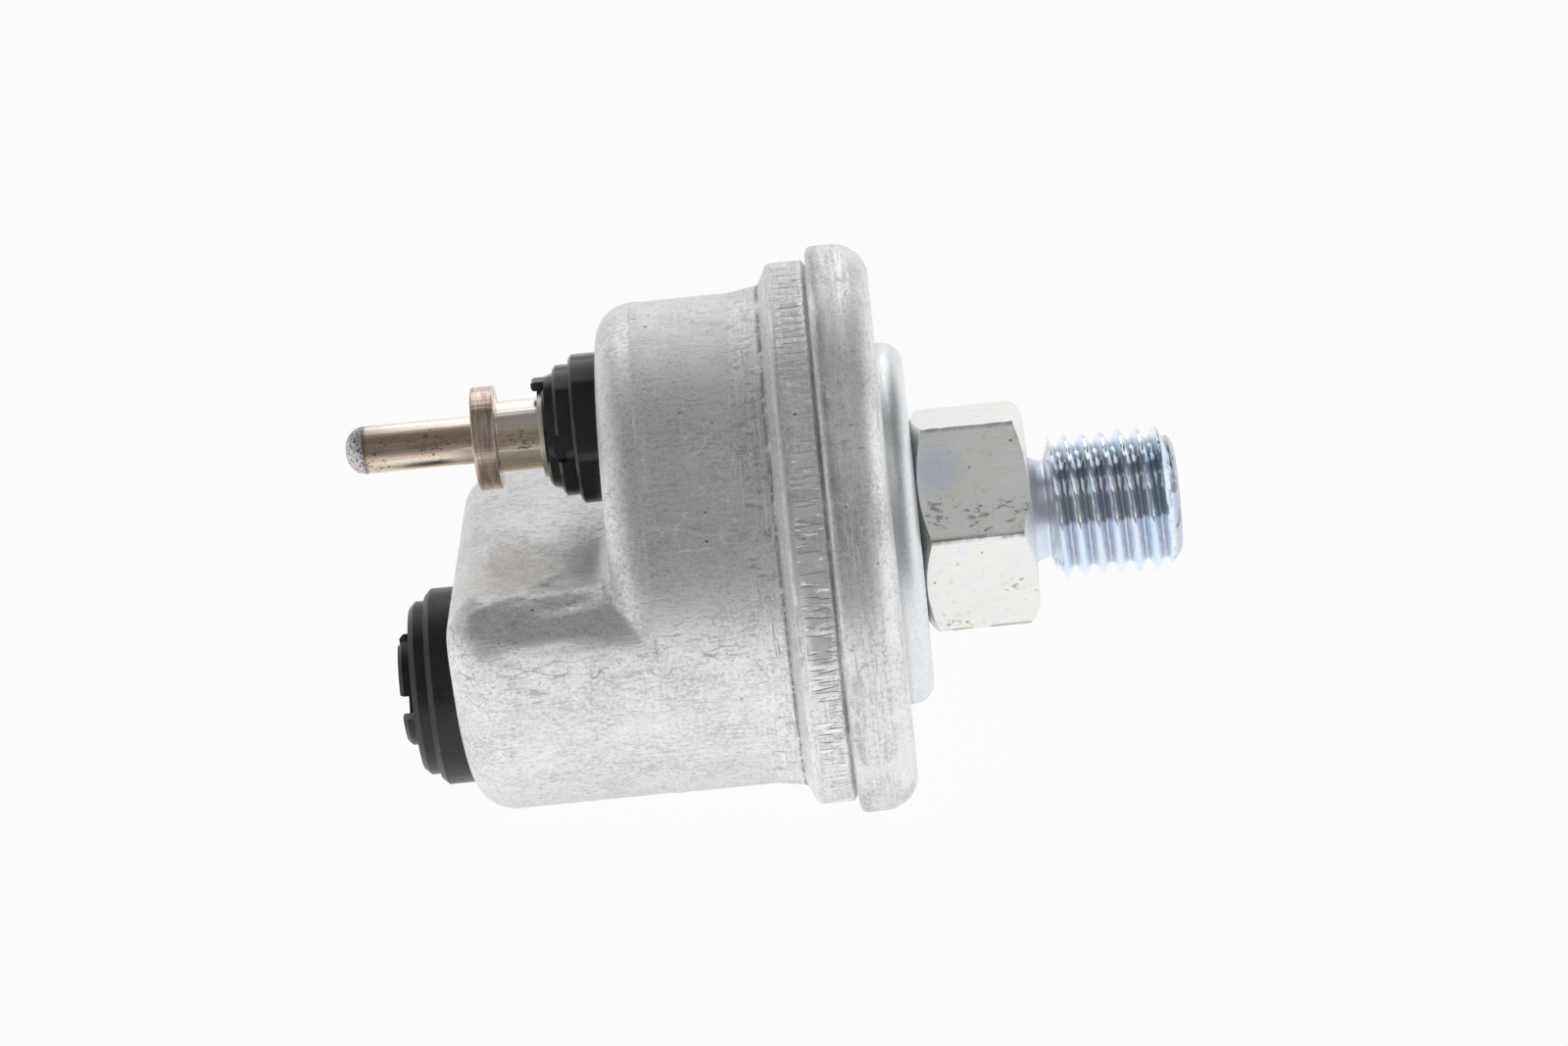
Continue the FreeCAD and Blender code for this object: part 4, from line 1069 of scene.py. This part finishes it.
class SENDER_OT_terminal(bpy.types.Operator):
    """Build the worn brass pin, and finish its washer, bush and plug"""

    bl_idname = "sender.terminal"
    bl_label = "Terminal and plug"

    def execute(self, context):
        settings = context.scene.sender_terminal
        piece = link_piece("pin", pin_mesh(settings.tip_wear / MM))
        stand_in_for(piece, "terminal_pin",
                     turned_brass(settings.brass, settings.tarnish))
        dress(inner_metal("bright_washer", (1.0, 0.92, 0.80), 0.3, (6, 0.5, 0.5)), "terminal_washer")
        dress(moulded_resin("bush_resin", settings.resin, 0.05), "terminal_insulator")
        dress(moulded_resin("plug_resin", settings.resin, 0.26), "blanking_plug")
        dress(inner_metal("clip_steel", (0.45, 0.45, 0.47), 0.35, (0.5, 4, 0.5)), "plug_clip")
        dress(inner_board("insulator_board", (0.30, 0.17, 0.09), 0.5, 2.5), "inner_insulator")
        dress(inner_metal("lug_brass", (0.74, 0.63, 0.38), 0.3, (0.5, 0.5, 5)), "terminal_lug")
        dress(inner_board("lead_sleeve", (0.45, 0.08, 0.06), 0.4, 4.0), "lead_wire")
        return {"FINISHED"}


class SENDER_OT_movement(bpy.types.Operator):
    """Finish the diaphragm stack, the bridge and everything that moves on it"""

    bl_idname = "sender.movement"
    bl_label = "Inner movement"

    def execute(self, context):
        steel = inner_metal("bridge_steel", (0.58, 0.59, 0.61), 0.32, (0.5, 0.5, 5))
        dress(steel, "mechanism_bridge", "clamp_ring", "card_bracket")
        pins = inner_metal("turned_steel", (0.62, 0.62, 0.64), 0.25, (0.6, 5, 0.6))
        dress(pins, "bridge_rivets", "ram", "pivot_pin", "rocker", "card_rivets")
        bronze = inner_metal("spring_bronze", (0.66, 0.44, 0.26), 0.28, (0.5, 5, 0.5))
        dress(bronze, "diaphragm", "wiper_arm")
        leaf = link_piece("leaf", leaf_mesh())
        leaf.data.materials.append(bronze)
        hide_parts("return_spring")
        low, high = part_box("return_spring")
        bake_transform(leaf)
        dress(inner_metal("contact_silver", (0.80, 0.79, 0.76), 0.2, (0.5, 5, 0.5)), "wiper_contact")
        dress(inner_board("gasket_rubber", (0.03, 0.03, 0.03), 0.6, 3.0), "sealing_gasket")
        dress(inner_board("card_board", (0.36, 0.20, 0.10), 0.5, 3.0), "resistance_card")
        dress(inner_board("spacer_board", (0.50, 0.44, 0.34), 0.5, 3.0), "card_spacers")
        dress(inner_metal("resistance_wire", (0.52, 0.46, 0.38), 0.35, (5, 0.5, 5)), "resistance_winding")
        return {"FINISHED"}


# Brightness of the tent as a share of the front light, by degrees up from the front
TENT = [
    (-60, 3.4), (-36, 2.5), (-20, 1.15), (12, 0.82), (40, 0.82), (62, 0.72), (95, 0.45), (118, 0.5),
    (145, 2.3), (172, 3.4),
]

# Soft lamps over the pin and the stud: name, middle, aim, width and depth, and brightness
SOFT_LAMPS = [
    ("pin_lamp", (-50.0, 34.0, 75.0), (-50.0, 0.0, 11.0), (26.0, 70.0), 0.95),
    ("stud_lamp", (1.5, 40.0, 75.0), (1.5, 0.0, 0.0), (27.0, 80.0), 1.06),
    ("front_lamp", (1.0, -52.0, 68.0), (0.0, -6.0, 3.0), (26.0, 50.0), 0.5),
]


def floor_height(x):
    """Height of the floor under the can's rim and the tower's end."""
    bead, tower = (-14.3, -23.5), (-44.4, -LOBE_R - 0.05)
    return bead[1] + (x - bead[0]) * (bead[1] - tower[1]) / (bead[0] - tower[0])


def floor_finish(white):
    """Pale matt floor that stays white where it is looked at, and keeps a soft shadow."""
    finish, tree = new_finish("pale_floor")
    tree.nodes.remove(tree.nodes["Principled BSDF"])
    matt = new_node(tree, "ShaderNodeBsdfDiffuse", {"Color": (0.92, 0.92, 0.92, 1)})
    glow = new_node(tree, "ShaderNodeEmission", {"Strength": 1.0, "Color": (white, white, white, 1)})
    rays = tree.nodes.new("ShaderNodeLightPath").outputs
    seen = largest(*(Value(rays[f"Is {kind} Ray"]) for kind in ("Camera", "Glossy", "Transmission")))
    inputs = {0: seen * FLOOR_GLOW, 1: Value(matt.outputs[0]), 2: Value(glow.outputs[0])}
    mix = new_node(tree, "ShaderNodeMixShader", inputs)
    put(tree.nodes["Material Output"].inputs["Surface"], Value(mix.outputs[0]))
    return finish


def light_tent(settings):
    """White tent with a grey gap in front, where the camera stands, that runs on overhead."""
    world = bpy.data.worlds.new("light_tent")
    bpy.context.scene.world = world
    world.use_nodes = True
    tree = world.node_tree
    x, y, z = axis_parts(Value(tree.nodes.new("ShaderNodeTexCoord").outputs["Generated"]))
    turn = maths(tree, "ARCTAN2", z, y * -1.0).between(-math.pi, math.pi)
    tent = ramped(turn, [(0.5 + rise / 360, [settings.front_light * share] * 3) for rise, share in TENT])
    tent = blended(x.between(-0.5, -0.9), tent, (0.62, 0.62, 0.62))
    tent = blended(x.between(0.72, 0.95), tent, (1.0, 1.0, 1.0))
    seen = Value(tree.nodes.new("ShaderNodeLightPath").outputs["Is Camera Ray"])
    put(tree.nodes["Background"].inputs["Color"], blended(seen, tent, [settings.white] * 3))


def aimed(across, upright, backwards, place):
    """Matrix of a lamp or camera from its three axes and its place in metres."""
    return Matrix.Translation(place) @ Matrix((across, upright, backwards)).transposed().to_4x4()


def place_camera(settings):
    """Camera at the photograph's viewing angle."""
    elevation, yaw, roll = settings.elevation, settings.yaw, settings.roll
    forward = Vector((-math.sin(yaw) * math.cos(elevation), math.cos(yaw) * math.cos(elevation),
                      -math.sin(elevation)))
    level = forward.cross(Vector((0, 0, 1))).normalized()
    upright = level.cross(forward)
    right = level * math.cos(roll) - upright * math.sin(roll)
    up = level * math.sin(roll) + upright * math.cos(roll)
    across = (ORIGIN_PX[0] - PHOTO_WIDTH / 2) / FOCAL_PX * settings.distance
    height = (PHOTO_HEIGHT / 2 - ORIGIN_PX[1]) / FOCAL_PX * settings.distance
    data = bpy.data.cameras.new("photo_camera")
    data.lens = FOCAL_PX / PHOTO_WIDTH * SENSOR_MM
    data.sensor_width = SENSOR_MM
    data.clip_start, data.clip_end = 0.01, 50.0
    camera = link_piece("photo_camera", data)
    place = -forward * settings.distance - right * across - up * height
    camera.matrix_world = aimed(right, up, -forward, place)
    bpy.context.scene.camera = camera


def soft_lamp(name, middle, aim, size, energy):
    """Flat lamp that shines from its middle to its aim, with its size in millimetres."""
    lamp = bpy.data.lights.new(name, "AREA")
    lamp.shape = "RECTANGLE"
    lamp.size, lamp.size_y = (side * MM for side in size)
    lamp.energy = energy * math.pi * lamp.size * lamp.size_y
    toward = (Vector(aim) - Vector(middle)).normalized()
    across = Vector((1, 0, 0))
    holder = link_piece(name, lamp)
    holder.matrix_world = aimed(across, across.cross(toward), -toward, [part * MM for part in middle])
    holder.visible_camera = False


class SENDER_OT_stage(bpy.types.Operator):
    """Set the floor, the light tent, the soft lamps and the camera"""

    bl_idname = "sender.stage"
    bl_label = "Stage"

    def execute(self, context):
        settings = context.scene.sender_stage
        outline = ((-FLOOR_REACH, FLOOR_FRONT_Y), (FLOOR_REACH, FLOOR_FRONT_Y),
                   (FLOOR_REACH, FLOOR_REACH), (-FLOOR_REACH, FLOOR_REACH))
        corners = [(x, y, floor_height(x) - FLOOR_GAP) for x, y in outline]
        floor = link_piece("floor", new_mesh("floor", corners, [(0, 1, 2, 3)]))
        floor.data.materials.append(floor_finish(settings.white))
        light_tent(settings)
        for name, middle, aim, size, painted_glints in SOFT_LAMPS:
            soft_lamp(name, middle, aim, size, settings.lamp_light * painted_glints)
        place_camera(settings)
        context.scene.view_settings.view_transform = "Standard"
        return {"FINISHED"}


class SENDER_PT_panel(bpy.types.Panel):
    """Lists the sender's pieces and their settings"""

    bl_idname = "SENDER_PT_panel"
    bl_label = "Oil pressure sender"
    bl_space_type = "VIEW_3D"
    bl_region_type = "UI"
    bl_category = "Sender"

    def draw(self, context):
        for step in ("can", "fitting", "terminal", "movement", "stage"):
            box = self.layout.box()
            box.operator("sender." + step)
            settings = getattr(context.scene, "sender_" + step, None)
            if settings:
                for name in settings.__annotations__:
                    box.prop(settings, name)


SETTINGS = {
    "sender_can": SenderCanSettings,
    "sender_fitting": SenderFittingSettings,
    "sender_terminal": SenderTerminalSettings,
    "sender_stage": SenderStageSettings,
}
CLASSES = [
    *SETTINGS.values(), SENDER_OT_can, SENDER_OT_fitting, SENDER_OT_terminal, SENDER_OT_movement,
    SENDER_OT_stage, SENDER_PT_panel,
]


def register():
    for made in CLASSES:
        bpy.utils.register_class(made)
    for name, made in SETTINGS.items():
        setattr(bpy.types.Scene, name, PointerProperty(type=made))


def unregister():
    for name in SETTINGS:
        delattr(bpy.types.Scene, name)
    for made in reversed(CLASSES):
        bpy.utils.unregister_class(made)


def main():
    """Builds every piece in order."""
    register()
    bpy.ops.sender.can()
    bpy.ops.sender.fitting()
    bpy.ops.sender.terminal()
    bpy.ops.sender.movement()
    bpy.ops.sender.stage()
    bpy.context.view_layer.update()


if __name__ == "__main__":
    main()
